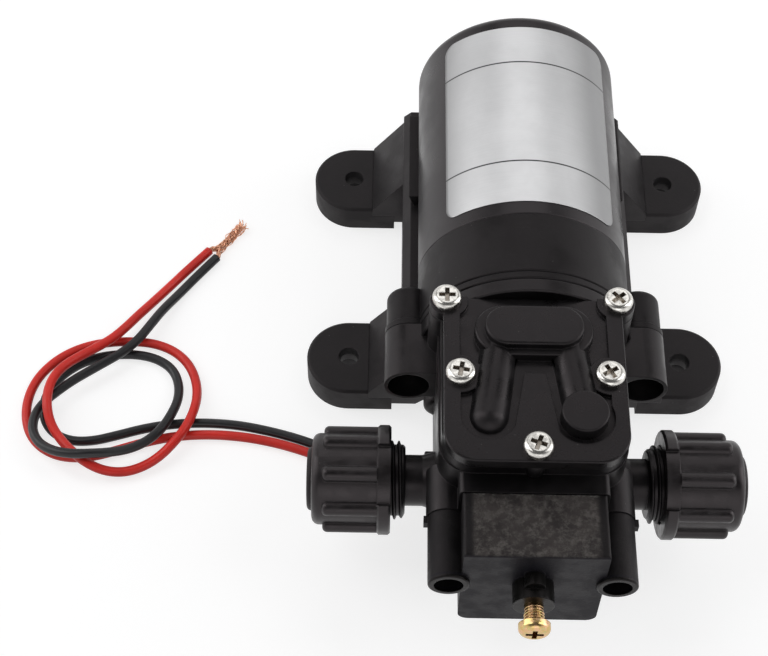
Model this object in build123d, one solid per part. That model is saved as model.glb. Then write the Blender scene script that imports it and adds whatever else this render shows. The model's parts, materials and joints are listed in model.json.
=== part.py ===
"""Small 12 V diaphragm pump with a pressure switch, as separate pieces.

Millimetres, +Z up.  The origin is the middle of the four foot holes on the
surface the pump stands on.  X runs across the pump (+X outlet side), Y runs
along the motor shaft, with the motor at +Y and the pressure switch at -Y.
"""
import os
from math import acos, asin, atan2, cos, degrees, hypot, pi, radians, sin, tan

from build123d import *

# Motor can and shaft
AXIS_Z = 36.3            # height of the motor axis
CAN_R = 26.0
CAN_WALL = 1.6
CAN_REAR = 42.5          # flat rear face of the can
CAN_FRONT = -23.2        # open front edge of the can
CAN_EDGE = 3.0           # rounding of the drawn rear edge
BOSS_R = 8.0             # bearing boss in the rear face
BOSS_OUT = 3.6
SHAFT_R = 2.5
RUN_FIT = 0.05           # radial clearance of a turning fit
SLIDE_FIT = 0.15         # clearance of a sliding fit
SOFT_GAP = 0.3           # clearance of a soft piece to a moving one

# Label on the can
LABEL_REAR = 37.4
LABEL_FRONT = -19.4
LABEL_HALF_ANGLE = 55.0
LABEL_THICK = 0.12
LABEL_GLUE = 0.05        # glue layer under the foil

# Magnets and armature
MAGNET_THICK = 4.3
MAGNET_HALF_ANGLE = 62.0
MAGNET_SPAN = (-6.0, 29.0)
AIR_GAP = 0.6
CORE_SPAN = (-3.0, 25.0)
CORE_SLOTS = 7
SLOT_MOUTH = 1.6
SLOT_R = 3.2
WINDING_OVERHANG = 5.5
COMM_R = 7.0
COMM_SPAN = (-14.6, -9.0)

# Brush gear and end bell
BELL_THICK = 3.0
BRUSH_PLATE_THICK = 1.5
BRUSH_PLATE_GAP = 1.7
BRUSH = (7.0, 4.4, 3.6)  # length, width along the shaft, height
HOLDER_WALL = 0.5
BUSH_R = 6.0
BUSH_LENGTH = 5.0
MOTOR_SCREW_X = 15.0     # motor fixing screws in the adapter
MOTOR_HEAD = (3.4, 2.4)

# Crankcase rings between the motor and the pump body
ADAPTER_FRONT = -39.8
ADAPTER_WALL = 3.0
PLATE_THICK = 2.1        # bearing plate
FLANGE_THICK = 3.7       # round rear flange of the pump body
SEAM_CHAMFER = 0.35
BALL_BEARING = (8.0, 5.0)   # outer radius and width of the drive bearing
HUB_WALL = 2.5
HUB_LENGTH = 8.0

# Side barrels with the long frame screws
BARREL_X = 28.2
BARREL_R = 5.9
BARREL_BORE_R = 5.0
BARREL_MOUTH = -56.0
BARREL_BORE_DEPTH = 9.0
BARREL_REAR_R = 5.5
BARREL_REAR = -30.0
FRAME_SCREW_R = 2.0
FRAME_HEAD = (3.8, 2.8)

# Crank mechanism
CRANK_Y = -62.0
THROW = 1.5              # eccentric offset, half the diaphragm stroke
JOURNAL_R = 5.0
CRANK_BEARING = (9.5, 5.0)  # outer radius and width
ROD_WALL = 2.0
ECC_HUB_R = 6.5
WEIGHT_R = 8.4
WEIGHT_THICK = 3.4
CHAMBER_R = 14.5         # crank chamber around the shaft
ROD_DISC = (8.0, 1.5)    # radius and thickness of the rod's top plate
SET_SCREW_R = 1.3
CLAMP_SCREW_R = 1.5
CLAMP_HOLE_R = 1.8       # hole in the diaphragm
CLAMP_HEAD = (3.0, 1.3)
CRANK_CLEAR = 2.0        # room in front of the big end

# Pump body
BODY_HALF = 21.6
BODY_TOP = 49.8
BODY_BOTTOM = 12.0
BODY_FRONT = -87.0
BODY_CORNER = 7.5
BODY_EDGE = 2.0
NECK_HALF = 16.9
SEAM_Y = -91.8           # face between the pump body and the switch housing
LOWER_BOSS_R = 4.2
LOWER_BOSS_X = 20.0
LOWER_BOSS_Z = 21.5
LOWER_BOSS_FRONT = -53.5

# Diaphragm and valve plate
DIA_R = 14.0
DIA_THICK = 1.5
WEB_THICK = 1.2
ROLL_GAP = 0.25          # between the roll and the wall of the opening
ROLL_WALL = 0.8
POCKET_R = 11.5          # pump chamber
POCKET_DEPTH = 4.1
WASHER = (7.5, 1.6)
VALVE_PLATE_THICK = 6.3
VALVE_X = 5.2
VALVE_BEHIND = 4.7       # valves behind the crank plane
VALVE_R = 4.0
VALVE_THICK = 0.8
VALVE_STEM_R = 1.0
GASKET_THICK = 0.7
VALVE_PLATE_HALF = 21.1

# Head cover
COVER_HALF = 20.7
COVER_FRONT = -89.5
COVER_RIM = 3.0          # thickness at the rim
COVER_FIELD = 1.8        # thickness of the sunk field
RIM_WIDTH = 3.8
PILL_BEHIND = 6.2        # valve boss behind the crank plane
PILL_STEPS = ((13.6, 6.8, 1.6), (11.3, 5.3, 3.7))  # half length, half width, height over rim
LEG_R = 4.5
LEG_END_Y = -77.8
LEG_END_X = 10.6
LEG_START_X = 7.4
DISC_R = 5.3
DISC_OVER_RIM = 2.7
COVER_SCREWS = ((-19.85, -46.8), (19.85, -46.8), (-16.8, -67.05), (16.8, -67.05), (0.0, -85.8))
LUG_R = 4.0
ISLAND_HALF = (2.4, 5.0)  # half width of the raised island at its two ends
ISLAND_GAP = 10.7        # from the valve boss
ISLAND_PAST_LEGS = 3.2
COVER_SCREW_R = 1.5
COVER_SCREW_LENGTH = 16.0
COVER_HEAD = (3.45, 2.1)

# Ports, union nuts and blanking plugs
PORT_Y = -76.2
PORT_Z = 26.1
SPIGOT_R = 6.1
THREAD_ROOT_R = 8.5
THREAD_CREST_R = 9.4
THREAD_PITCH = 1.6
THREAD_START = 28.7
THREAD_END = 43.5
PORT_BORE_R = 4.5
CHANNEL_X = 10.4
CHANNEL_R = 3.0
NUT_START = 32.1
NUT_END = 50.8
NUT_FLANGE = (13.1, 3.2)
NUT_R = 10.9
NUT_RIB_R = 1.9
NUT_RIBS = 8
NUT_WALL_END = 2.4
NUT_NOTCHES = 2          # shallow steps in the flange
NUT_NOTCH = (1.0, 34.0)  # depth and half angle
PLUG_BULGE = 1.2
PLUG_R = 7.6
PLUG_DISC = 2.0
THREAD_GAP = 0.15        # play between the two threads

# Pressure switch
BOX_HALF = 16.1
BOX_TOP = 49.7
BOX_BOTTOM = 17.2
SEAT_CLEAR = 0.25        # spring seat to the box wall at full travel
BOX_WALL = 2.2
TUBE_X = 18.9
TUBE_Z = 36.7
TUBE_R = 4.75
TUBE_REAR_R = 5.1
TUBE_BORE_R = 3.35
TUBE_PAST_BOX = 1.05
TUBE_REAR = -80.0
TUBE_BORE_DEPTH = 11.0
SWITCH_SCREW_R = 1.5
SWITCH_SCREW_BITE = 12.8  # how far the screws go into the pump body
SWITCH_HEAD = (2.9, 2.2)
SENSE_X = 7.4
SENSE_R = 1.0
SENSE_POCKET = (9.5, 1.0)
SW_DIA = (10.8, 1.4)
RETAINER_THICK = 1.5
PLUNGER_R = 7.6
PLUNGER_HEAD = 1.4
PLUNGER_TRAVEL = 1.0
SPRING_R = 3.6
SPRING_WIRE_R = 0.5
SPRING_TURNS = 3.5
SPRING_LENGTH = 6.3
SEAT_R = 5.2
SEAT_THICK = 1.4
ARM_THICK = 0.8
ARM_GAP = 0.4            # retainer to the plunger's arm
ADJ_R = 2.1
ADJ_HEAD = (3.65, 2.5)
ADJ_STAND_OUT = 4.45     # thread that shows between boss and head
ADJ_BOSS = (4.7, 5.4)
ADJ_IN = 1.5             # how far the adjusting screw may go in or out
MICRO = (12.8, 5.8, 6.4)
MICRO_Z = 24.6
BUTTON = (1.2, 1.4)

# Base bracket and rubber feet
HOLE_X = 43.4
HOLE_Y = 29.8
HOLE_R = 2.6
FOOT_R = 11.0
FOOT_HIGH = 8.3
FOOT_INNER = 32.0
FOOT_BEVEL = 0.6
BRACKET_HALF = 29.8
BRACKET_TOP = 24.5
BRACKET_BOTTOM = 5.0
ARM_FOOT_X = 38.1
ARM_TOP = 20.7
CHEEK_SPAN = (8.0, 36.0)
CHEEK_TOP = 28.5
CHEEK_INNER = 18.0
CHEEK_DEEP = 6.0
TAB_R = 8.0
TAB_SPAN = (3.0, 5.6)
BRACKET_SCREW_Y = 18.0
BRACKET_SCREW_R = 1.6
BRACKET_HEAD = (3.0, 1.8)

# Wires
WIRE_R = 1.25
GROMMET = (3.9, 2.2)     # radius and how far it stands out of the body wall
EXIT_Y = -67.0
EXIT_Z = 16.2
STRAND_R = 0.8           # bared copper at the end of each wire
LEAST_GAP = 0.4          # between two turns of one wire

# Routes from the grommet to the bared ends, as the wires lie on the floor
BLACK_ROUTE = [
    (-23.8, -65.4, 16.2), (-28.6, -65.4, 16.2), (-33.2, -63.2, 12.6), (-37.6, -60.0, 7.6),
    (-42.6, -56.8, 3.4), (-48.6, -54.0, 1.4), (-55.5, -51.2, 1.3), (-63.5, -48.9, 1.3),
    (-72.0, -47.2, 1.3), (-80.5, -46.7, 1.3), (-88.5, -47.2, 1.3), (-96.0, -48.7, 1.3),
    (-103.0, -51.0, 1.3), (-109.0, -52.8, 1.3), (-114.7, -53.0, 1.3), (-119.4, -50.9, 1.3),
    (-122.3, -47.0, 1.3), (-123.3, -42.2, 1.3), (-122.2, -37.3, 1.3), (-119.4, -32.9, 1.3),
    (-115.4, -29.4, 1.3), (-110.5, -27.0, 1.3), (-105.0, -26.0, 1.3), (-99.5, -26.0, 1.3),
    (-94.5, -27.3, 1.3), (-90.3, -30.3, 1.3), (-88.2, -35.0, 1.5), (-87.8, -40.5, 2.8),
    (-88.8, -45.8, 4.5), (-91.0, -50.5, 4.6), (-94.5, -54.3, 4.4), (-98.8, -57.0, 4.9),
    (-103.3, -58.9, 6.4), (-108.2, -60.0, 7.6), (-113.4, -60.2, 7.6), (-118.3, -58.8, 6.6),
    (-122.3, -55.8, 5.4), (-124.5, -51.6, 4.6), (-124.4, -47.0, 4.4), (-122.4, -43.0, 4.4),
    (-119.3, -39.7, 4.4), (-115.8, -36.5, 4.5), (-111.8, -33.4, 4.4), (-107.6, -30.4, 4.5),
    (-103.4, -27.2, 4.4), (-99.8, -23.2, 4.4), (-97.0, -18.2, 4.2), (-94.4, -12.4, 2.8),
    (-90.6, -6.3, 1.5), (-86.0, 0.3, 1.3), (-81.1, 6.6, 1.3)]
RED_ROUTE = [
    (-23.8, -68.6, 16.2), (-28.6, -68.6, 16.2), (-33.2, -66.4, 12.6), (-37.6, -63.2, 7.6),
    (-42.6, -60.0, 3.4), (-48.6, -57.0, 1.4), (-55.5, -54.2, 1.3), (-63.5, -51.9, 1.3),
    (-72.0, -50.5, 1.3), (-80.5, -50.2, 1.3), (-88.5, -51.0, 1.3), (-95.5, -52.8, 1.3),
    (-102.0, -55.2, 1.3), (-107.8, -57.2, 1.3), (-113.5, -58.0, 1.3), (-119.0, -57.0, 1.3),
    (-123.6, -53.9, 1.3), (-126.5, -49.3, 1.3), (-127.6, -43.8, 1.3), (-127.2, -38.3, 1.3),
    (-125.3, -33.1, 1.3), (-121.8, -28.6, 1.3), (-117.3, -25.2, 1.3), (-112.0, -23.0, 1.3),
    (-106.4, -22.0, 1.3), (-100.7, -21.8, 1.3), (-95.2, -22.5, 1.3), (-90.2, -24.7, 1.3),
    (-86.3, -28.4, 1.3), (-83.9, -33.4, 1.4), (-82.9, -39.2, 2.6), (-83.3, -45.2, 4.5),
    (-85.0, -50.3, 4.6), (-87.6, -54.2, 4.2), (-90.8, -57.6, 3.0), (-94.9, -60.3, 2.0),
    (-99.8, -62.2, 1.9), (-104.9, -62.5, 3.0), (-109.5, -61.0, 4.4), (-113.4, -57.9, 4.6),
    (-116.8, -54.4, 4.6), (-119.6, -50.6, 5.6), (-121.0, -46.2, 7.2), (-121.2, -41.3, 7.7),
    (-120.2, -36.4, 7.0), (-117.8, -32.0, 5.6), (-114.3, -28.6, 4.6), (-110.4, -25.8, 4.4),
    (-106.5, -22.8, 4.4), (-103.3, -19.0, 4.3), (-100.6, -14.4, 3.2), (-97.2, -9.2, 2.0),
    (-93.2, -3.6, 1.4), (-88.4, 2.7, 1.3), (-83.3, 8.9, 1.3)]
BLACK_STRANDS = [(-81.1, 6.6, 1.3), (-79.1, 9.3, 1.3), (-76.6, 13.3, 1.1), (-73.4, 18.6, 1.0)]
RED_STRANDS = [(-83.3, 8.9, 1.3), (-81.0, 11.6, 1.3), (-78.3, 14.9, 1.1), (-74.9, 19.8, 1.0)]

PLATE_FRONT = ADAPTER_FRONT - PLATE_THICK
FLANGE_FRONT = PLATE_FRONT - FLANGE_THICK
VALVE_PLATE_TOP = BODY_TOP + VALVE_PLATE_THICK
GASKET_TOP = VALVE_PLATE_TOP + GASKET_THICK
RIM_TOP = GASKET_TOP + COVER_RIM
CAN_IN_R = CAN_R - CAN_WALL
MAGNET_IN_R = CAN_IN_R - MAGNET_THICK
CORE_R = MAGNET_IN_R - AIR_GAP
CRANK_Z = AXIS_Z - THROW
VALVE_Y = CRANK_Y + VALVE_BEHIND
PILL_Y = CRANK_Y + PILL_BEHIND
RETAINER_FRONT = SEAM_Y - SW_DIA[1] - RETAINER_THICK
SPRING_REAR = RETAINER_FRONT - ARM_GAP - ARM_THICK
SPRING_FRONT = SPRING_REAR - SPRING_LENGTH
BOX_FRONT = SPRING_FRONT - SEAT_THICK - ADJ_IN - SEAT_CLEAR - BOX_WALL
TUBE_FRONT = BOX_FRONT - TUBE_PAST_BOX
SWITCH_SCREW_END = SEAM_Y + SWITCH_SCREW_BITE
ADJ_HEAD_REAR = BOX_FRONT - ADJ_BOSS[1] - ADJ_STAND_OUT


def write(name, shape):
    """One STEP file per piece or group of like pieces."""
    export_step(shape, f"parts/{name}.step")


def rod_x(radius, x0, x1, y=0.0, z=AXIS_Z):
    """Cylinder along X from x0 to x1."""
    return Pos((x0 + x1) / 2, y, z) * Rot(0, 90, 0) * Cylinder(radius, abs(x1 - x0))


def rod_y(radius, y0, y1, x=0.0, z=AXIS_Z):
    """Cylinder along Y from y0 to y1."""
    return Pos(x, (y0 + y1) / 2, z) * Rot(90, 0, 0) * Cylinder(radius, abs(y1 - y0))


def rod_z(radius, z0, z1, x=0.0, y=0.0):
    """Cylinder along Z from z0 to z1."""
    return Pos(x, y, (z0 + z1) / 2) * Cylinder(radius, abs(z1 - z0))


def post(radius, high, low=0.0):
    """Cylinder standing on the plane z = low, drawn at the origin for pieces that are placed later."""
    return Pos(0, 0, low) * Cylinder(radius, high, align=(Align.CENTER, Align.CENTER, Align.MIN))


def block(x0, x1, y0, y1, z0, z1):
    """Box between the given planes."""
    size = (abs(x1 - x0), abs(y1 - y0), abs(z1 - z0))
    return Pos((x0 + x1) / 2, (y0 + y1) / 2, (z0 + z1) / 2) * Box(*size)


def edges_at(shape, axis, value, tolerance=0.01):
    """Edges that lie wholly in the plane at this value of the axis."""
    return shape.edges().filter_by_position(axis, value - tolerance, value + tolerance)


def rise(face, z0, z1):
    """Plan outline extruded from z0 up to z1."""
    return Pos(0, 0, z0) * extrude(face, z1 - z0)


def disc_y(radius, y0, y1, bevel, x=0.0, z=AXIS_Z):
    """Cylinder along Y with both rims bevelled."""
    disc = rod_y(radius, y0, y1, x, z)
    return chamfer(edges_at(disc, Axis.Y, y0) + edges_at(disc, Axis.Y, y1), bevel)


def ring_y(outer, inner, y0, y1, x=0.0, z=AXIS_Z):
    return rod_y(outer, y0, y1, x, z) - rod_y(inner, y0, y1, x, z)


def sides(make):
    """The same piece on the left and on the right."""
    return [make(side) for side in (-1, 1)]


def motor_can():
    """Drawn steel cup with a bearing boss in its closed rear end."""
    shell = rod_y(CAN_R, CAN_FRONT, CAN_REAR)
    shell = fillet(edges_at(shell, Axis.Y, CAN_REAR), CAN_EDGE)
    shell = chamfer(edges_at(shell, Axis.Y, CAN_FRONT), SEAM_CHAMFER)
    shell += rod_y(BOSS_R, CAN_REAR - CAN_WALL, CAN_REAR + BOSS_OUT)
    shell = fillet(edges_at(shell, Axis.Y, CAN_REAR + BOSS_OUT), CAN_WALL * 0.6)
    shell -= rod_y(CAN_IN_R, CAN_FRONT, CAN_REAR - CAN_WALL)
    shell -= rod_y(BUSH_R, CAN_REAR - CAN_WALL, CAN_REAR + BOSS_OUT - CAN_WALL)
    holes = [rod_z(BRACKET_SCREW_R, 0, AXIS_Z, 0, y) for y in (-BRACKET_SCREW_Y, BRACKET_SCREW_Y)]
    return shell - holes


def label():
    """Foil label wrapped over the top of the can."""
    foil = ring_y(CAN_R + LABEL_GLUE + LABEL_THICK, CAN_R + LABEL_GLUE, LABEL_FRONT, LABEL_REAR)
    reach = CAN_R * 2
    a = radians(LABEL_HALF_ANGLE)
    wedge = Polyline((0, 0), (reach * sin(a), reach * cos(a)), (0, reach * 2),
                     (-reach * sin(a), reach * cos(a)), close=True)
    keep = Pos(0, LABEL_REAR, AXIS_Z) * Rot(90, 0, 0) * extrude(make_face(wedge), LABEL_REAR - LABEL_FRONT)
    return foil & keep


def rear_bush():
    """Sintered bush in the rear boss."""
    rear = CAN_REAR + BOSS_OUT - CAN_WALL
    return ring_y(BUSH_R, SHAFT_R + RUN_FIT, rear - BUSH_LENGTH, rear)


def magnet(side):
    """Arc magnet on one side of the can."""
    y0, y1 = MAGNET_SPAN
    arc = ring_y(CAN_IN_R, MAGNET_IN_R, y0, y1)
    reach = CAN_R * 2
    a = radians(MAGNET_HALF_ANGLE)
    wedge = Polyline((0, 0), (side * reach * cos(a), reach * sin(a)), (side * reach * 2, 0),
                     (side * reach * cos(a), -reach * sin(a)), close=True)
    keep = Pos(0, y1, AXIS_Z) * Rot(90, 0, 0) * extrude(make_face(wedge), y1 - y0)
    return arc & keep


def end_bell():
    """Steel plate closing the front of the can, with a bush seat."""
    y0 = CAN_FRONT
    y1 = CAN_FRONT + BELL_THICK
    plate = ring_y(CAN_IN_R, BUSH_R, y0, y1)
    plate += ring_y(BUSH_R + CAN_WALL, BUSH_R, y0 - BUSH_LENGTH + BELL_THICK, y1)
    taps = [rod_y(FRAME_SCREW_R, y0, y1, side * MOTOR_SCREW_X) for side in (-1, 1)]
    return plate - taps


def front_bush():
    """Sintered bush in the end bell."""
    y1 = CAN_FRONT + BELL_THICK
    return ring_y(BUSH_R, SHAFT_R + RUN_FIT, y1 - BUSH_LENGTH, y1)


def motor_screws():
    """Two pan head screws that hold the adapter to the end bell."""
    return Compound(sides(lambda side: screw_y(
        FRAME_SCREW_R, MOTOR_HEAD, CAN_FRONT - ADAPTER_WALL, CAN_FRONT + BELL_THICK,
        side * MOTOR_SCREW_X, AXIS_Z)))


def cross_recess(head_r, depth):
    """Cross slot for a driver, around Z, with its floor at z = 0."""
    arm = Box(head_r * 1.1, head_r * 0.3, depth * 2)
    return Pos(0, 0, depth) * (arm + Rot(0, 0, 90) * arm)


def screw_up(shank_r, head, length, domed=True):
    """Screw along Z with its head resting on z = 0, pan shaped or with a plain bevel."""
    head_r, head_high = head
    top = Cylinder(head_r, head_high, align=(Align.CENTER, Align.CENTER, Align.MIN))
    rim = edges_at(top, Axis.Z, head_high)
    top = fillet(rim, head_high * 0.6) if domed else chamfer(rim, head_high * 0.3)
    top -= Pos(0, 0, head_high * 0.35) * cross_recess(head_r, head_high)
    return top + Cylinder(shank_r, length, align=(Align.CENTER, Align.CENTER, Align.MAX))


def screw_y(shank_r, head, seat_y, end_y, x, z, domed=False):
    """Screw along Y; its head rests on seat_y and faces -Y."""
    turn = Pos(x, seat_y, z) * Rot(90, 0, 0)
    return turn * screw_up(shank_r, head, end_y - seat_y, domed)


def brush_plate():
    """Insulating plate with two boxes that guide the brushes."""
    y0 = CAN_FRONT + BELL_THICK + BRUSH_PLATE_GAP
    y1 = y0 + BRUSH_PLATE_THICK
    plate = ring_y(CAN_IN_R, COMM_R + 1.5, y0, y1)
    for side in (-1, 1):
        plate += holder_box(side, HOLDER_WALL) - holder_box(side, 0)
    return plate


def brush_mid():
    return (COMM_SPAN[0] + COMM_SPAN[1]) / 2


def holder_box(side, wall):
    """Outside (wall given) or inside (wall 0) of a brush guide."""
    length, wide, high = BRUSH
    reach = wide / 2 + SLIDE_FIT + wall
    tall = high / 2 + SLIDE_FIT + wall
    x0 = side * (COMM_R + 1.0)
    x1 = side * (COMM_R + 1.0 + length)
    y0 = CAN_FRONT + BELL_THICK + BRUSH_PLATE_GAP if wall else brush_mid() - reach
    return block(x0, x1, y0, brush_mid() + reach, AXIS_Z - tall, AXIS_Z + tall)


def carbon_brushes():
    """Carbon blocks that ride on the commutator."""
    length, wide, high = BRUSH
    touch = rod_y(COMM_R + RUN_FIT, *COMM_SPAN)
    y0, y1 = brush_mid() - wide / 2, brush_mid() + wide / 2

    def brush(side):
        bar = block(side * (COMM_R - 0.3), side * (COMM_R + length), y0, y1,
                    AXIS_Z - high / 2, AXIS_Z + high / 2)
        return bar - touch
    return Compound(sides(brush))


def brush_springs():
    """Bent leaf springs that press the brushes inwards."""
    length, wide, high = BRUSH
    leaf = 0.4
    back = COMM_R + length
    half = wide / 2

    def leaf_spring(side):
        y = brush_mid()
        foot = CAN_FRONT + BELL_THICK + BRUSH_PLATE_GAP + BRUSH_PLATE_THICK
        x = side * back
        out = side * (back + 4.0)
        pad = block(x, x + side * leaf, y - half, y + half, AXIS_Z - 1, AXIS_Z + 1)
        cross = block(x, out, y + half - leaf, y + half, AXIS_Z - 1, AXIS_Z + 1)
        leg = block(out - side * leaf, out, foot, y + half, AXIS_Z - 1, AXIS_Z + 1)
        return pad + cross + leg
    return Compound(sides(leaf_spring))


def motor_shaft():
    """Ground shaft from the rear boss to the eccentric, with a driving flat."""
    rear = CAN_REAR + BOSS_OUT - CAN_WALL - 0.3
    front = CRANK_Y - CRANK_BEARING[1] / 2 - 0.5
    shaft = chamfer(rod_y(SHAFT_R, front, rear).edges(), 0.3)
    flat = block(-SHAFT_R, SHAFT_R, front, ecc_rear(), AXIS_Z + SHAFT_R - 0.5, AXIS_Z + SHAFT_R)
    return shaft - flat


def armature_core():
    """Stack of laminations with slots for the winding."""
    y0, y1 = CORE_SPAN
    core = ring_y(CORE_R, SHAFT_R, y0, y1)
    centre = CORE_R - SLOT_R - 2.0
    for i in range(CORE_SLOTS):
        a = 2 * pi * i / CORE_SLOTS
        core -= rod_y(SLOT_R, y0, y1, centre * sin(a), AXIS_Z + centre * cos(a))
        mouth = block(-SLOT_MOUTH / 2, SLOT_MOUTH / 2, y0, y1, centre, CORE_R + 1)
        core -= Pos(0, 0, AXIS_Z) * Rot(0, degrees(a), 0) * mouth
    return core


def windings():
    """Wound coils: a head at each end of the core joined through the slots."""
    y0, y1 = CORE_SPAN
    inner = SHAFT_R + 2.5
    centre = CORE_R - SLOT_R - 2.0
    outer = centre + SLOT_R - 0.2
    heads = [ring_y(outer, inner, y0 - WINDING_OVERHANG, y0), ring_y(outer, inner, y1, y1 + WINDING_OVERHANG)]
    coil = heads[0] + heads[1]
    ends = edges_at(coil, Axis.Y, y0 - WINDING_OVERHANG) + edges_at(coil, Axis.Y, y1 + WINDING_OVERHANG)
    coil = fillet(ends, 1.8)
    for i in range(CORE_SLOTS):
        a = 2 * pi * i / CORE_SLOTS
        coil += rod_y(SLOT_R - 0.3, y0 - 1, y1 + 1, centre * sin(a), AXIS_Z + centre * cos(a))
    return coil


def commutator():
    """Copper segments on an insulating core."""
    y0, y1 = COMM_SPAN
    drum = ring_y(COMM_R, SHAFT_R, y0, y1)
    for i in range(CORE_SLOTS):
        slit = block(-0.2, 0.2, y0, y1, COMM_R - 0.8, COMM_R + 1)
        drum -= Pos(0, 0, AXIS_Z) * Rot(0, 360 * (i + 0.5) / CORE_SLOTS, 0) * slit
    return drum


def spacer_sleeves():
    """Sleeves that keep the armature in place between the two bushes."""
    rear_face = CAN_REAR + BOSS_OUT - CAN_WALL - BUSH_LENGTH
    rear = ring_y(SHAFT_R + 1.5, SHAFT_R, CORE_SPAN[1] + WINDING_OVERHANG, rear_face - 0.2)
    front = ring_y(SHAFT_R + 1.5, SHAFT_R, CAN_FRONT + BELL_THICK + 0.2, COMM_SPAN[0])
    return Compound([rear, front])


def motor_adapter():
    """Round crankcase ring between the motor and the bearing plate."""
    y0, y1 = ADAPTER_FRONT, CAN_FRONT
    ring = chamfer(edges_at(rod_y(CAN_R, y0, y1), Axis.Y, y0), SEAM_CHAMFER)
    for side in (-1, 1):
        barrel = rod_y(BARREL_REAR_R, y0, BARREL_REAR, side * BARREL_X)
        ring += fillet(edges_at(barrel, Axis.Y, BARREL_REAR), 1.6)
        ring += block(side * BARREL_X, side * (CAN_R - ADAPTER_WALL), y0, BARREL_REAR - 2,
                      AXIS_Z - 4, AXIS_Z + 4)
    ring -= rod_y(CAN_R - ADAPTER_WALL, y0, y1 - ADAPTER_WALL)
    ring -= rod_y(BUSH_R + CAN_WALL, y1 - ADAPTER_WALL, y1)
    for side in (-1, 1):
        ring -= rod_y(FRAME_SCREW_R, y0, frame_screw_end(), side * BARREL_X)
        ring -= rod_y(FRAME_SCREW_R, y0, y1, side * MOTOR_SCREW_X)
    return ring


def frame_screw_end():
    return BARREL_REAR - 3.0


def bearing_plate():
    """Plate with a long hub that holds the drive bearing close to the crank."""
    bearing_r, bearing_wide = BALL_BEARING
    hub_front = PLATE_FRONT - HUB_LENGTH
    plate = disc_y(CAN_R, PLATE_FRONT, ADAPTER_FRONT, SEAM_CHAMFER)
    plate += rod_y(bearing_r + HUB_WALL, hub_front, PLATE_FRONT)
    for side in (-1, 1):
        ear = disc_y(BARREL_R, PLATE_FRONT, ADAPTER_FRONT, SEAM_CHAMFER, side * BARREL_X)
        plate += ear
        plate -= rod_y(FRAME_SCREW_R, PLATE_FRONT, ADAPTER_FRONT, side * BARREL_X)
    plate -= rod_y(bearing_r, hub_front, hub_front + bearing_wide)
    return plate - rod_y(SHAFT_R + 1.5, hub_front, ADAPTER_FRONT)


def drive_bearing():
    """Ball bearing at the end of the hub, with its races and shield set back."""
    outer, wide = BALL_BEARING
    front = PLATE_FRONT - HUB_LENGTH
    return ball_bearing(outer, SHAFT_R + RUN_FIT, front, front + wide, 0, AXIS_Z)


def ball_bearing(outer, inner, y0, y1, x, z):
    """Bearing ring with a sunk shield between its races on both faces."""
    ring = ring_y(outer, inner, y0, y1, x, z)
    race = (outer - inner) * 0.25
    sunk = 0.3
    for a, b in ((y0, y0 + sunk), (y1 - sunk, y1)):
        ring -= ring_y(outer - race, inner + race, a, b, x, z)
    return ring


def ecc_rear():
    """Rear face of the eccentric's hub."""
    return PLATE_FRONT - HUB_LENGTH - 0.6


def eccentric():
    """Hub, balance weight and offset journal in one turned piece."""
    half = CRANK_BEARING[1] / 2
    rear = ecc_rear()
    shoulder = CRANK_Y + half + 0.4
    front = CRANK_Y - half
    piece = rod_y(ECC_HUB_R, shoulder, rear)
    weight = rod_y(WEIGHT_R, shoulder, shoulder + WEIGHT_THICK)
    weight -= block(-WEIGHT_R, WEIGHT_R, shoulder, rear, AXIS_Z - WEIGHT_R, AXIS_Z + 1.0)
    piece += weight
    piece += rod_y(JOURNAL_R + 1.0, CRANK_Y + half, shoulder, 0, CRANK_Z)
    piece += rod_y(JOURNAL_R, front, CRANK_Y + half, 0, CRANK_Z)
    piece -= rod_y(SHAFT_R, front, rear)
    piece -= rod_z(SET_SCREW_R, AXIS_Z - ECC_HUB_R - 1, AXIS_Z, 0, set_screw_y())
    key = block(-SHAFT_R, SHAFT_R, front, rear, AXIS_Z + SHAFT_R - 0.5, AXIS_Z + SHAFT_R)
    return piece + key


def set_screw_y():
    return (ecc_rear() + CRANK_Y + CRANK_BEARING[1] / 2 + 0.4) / 2


def eccentric_set_screw():
    """Grub screw that locks the eccentric to the shaft."""
    y = set_screw_y()
    screw = rod_z(SET_SCREW_R, AXIS_Z - ECC_HUB_R, AXIS_Z - SHAFT_R, 0, y)
    socket = RegularPolygon(SET_SCREW_R * 0.6, 6)
    return screw - Pos(0, y, AXIS_Z - ECC_HUB_R) * extrude(socket, 1.2)


def crank_bearing():
    """Ball bearing between the offset journal and the rod."""
    outer, wide = CRANK_BEARING
    return ball_bearing(outer, JOURNAL_R + RUN_FIT, CRANK_Y - wide / 2, CRANK_Y + wide / 2, 0, CRANK_Z)


def disc_top():
    """Height of the rod's top plate, under the middle of the diaphragm."""
    return BODY_TOP - DIA_THICK - THROW


def connecting_rod():
    """Big end ring and the round plate that carries the diaphragm."""
    outer, wide = CRANK_BEARING
    y0, y1 = CRANK_Y - wide / 2, CRANK_Y + wide / 2
    disc_r, disc_thick = ROD_DISC
    top = disc_top()
    rod = rod_y(outer + ROD_WALL, y0, y1, 0, CRANK_Z)
    rod += block(-disc_r * 0.6, disc_r * 0.6, y0, y1, CRANK_Z + outer, top - disc_thick / 2)
    rod += rod_z(disc_r, top - disc_thick, top, 0, CRANK_Y)
    rod -= rod_y(outer, y0, y1, 0, CRANK_Z)
    return rod - rod_z(CLAMP_SCREW_R, CRANK_Z + outer - 1, top, 0, CRANK_Y)


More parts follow.
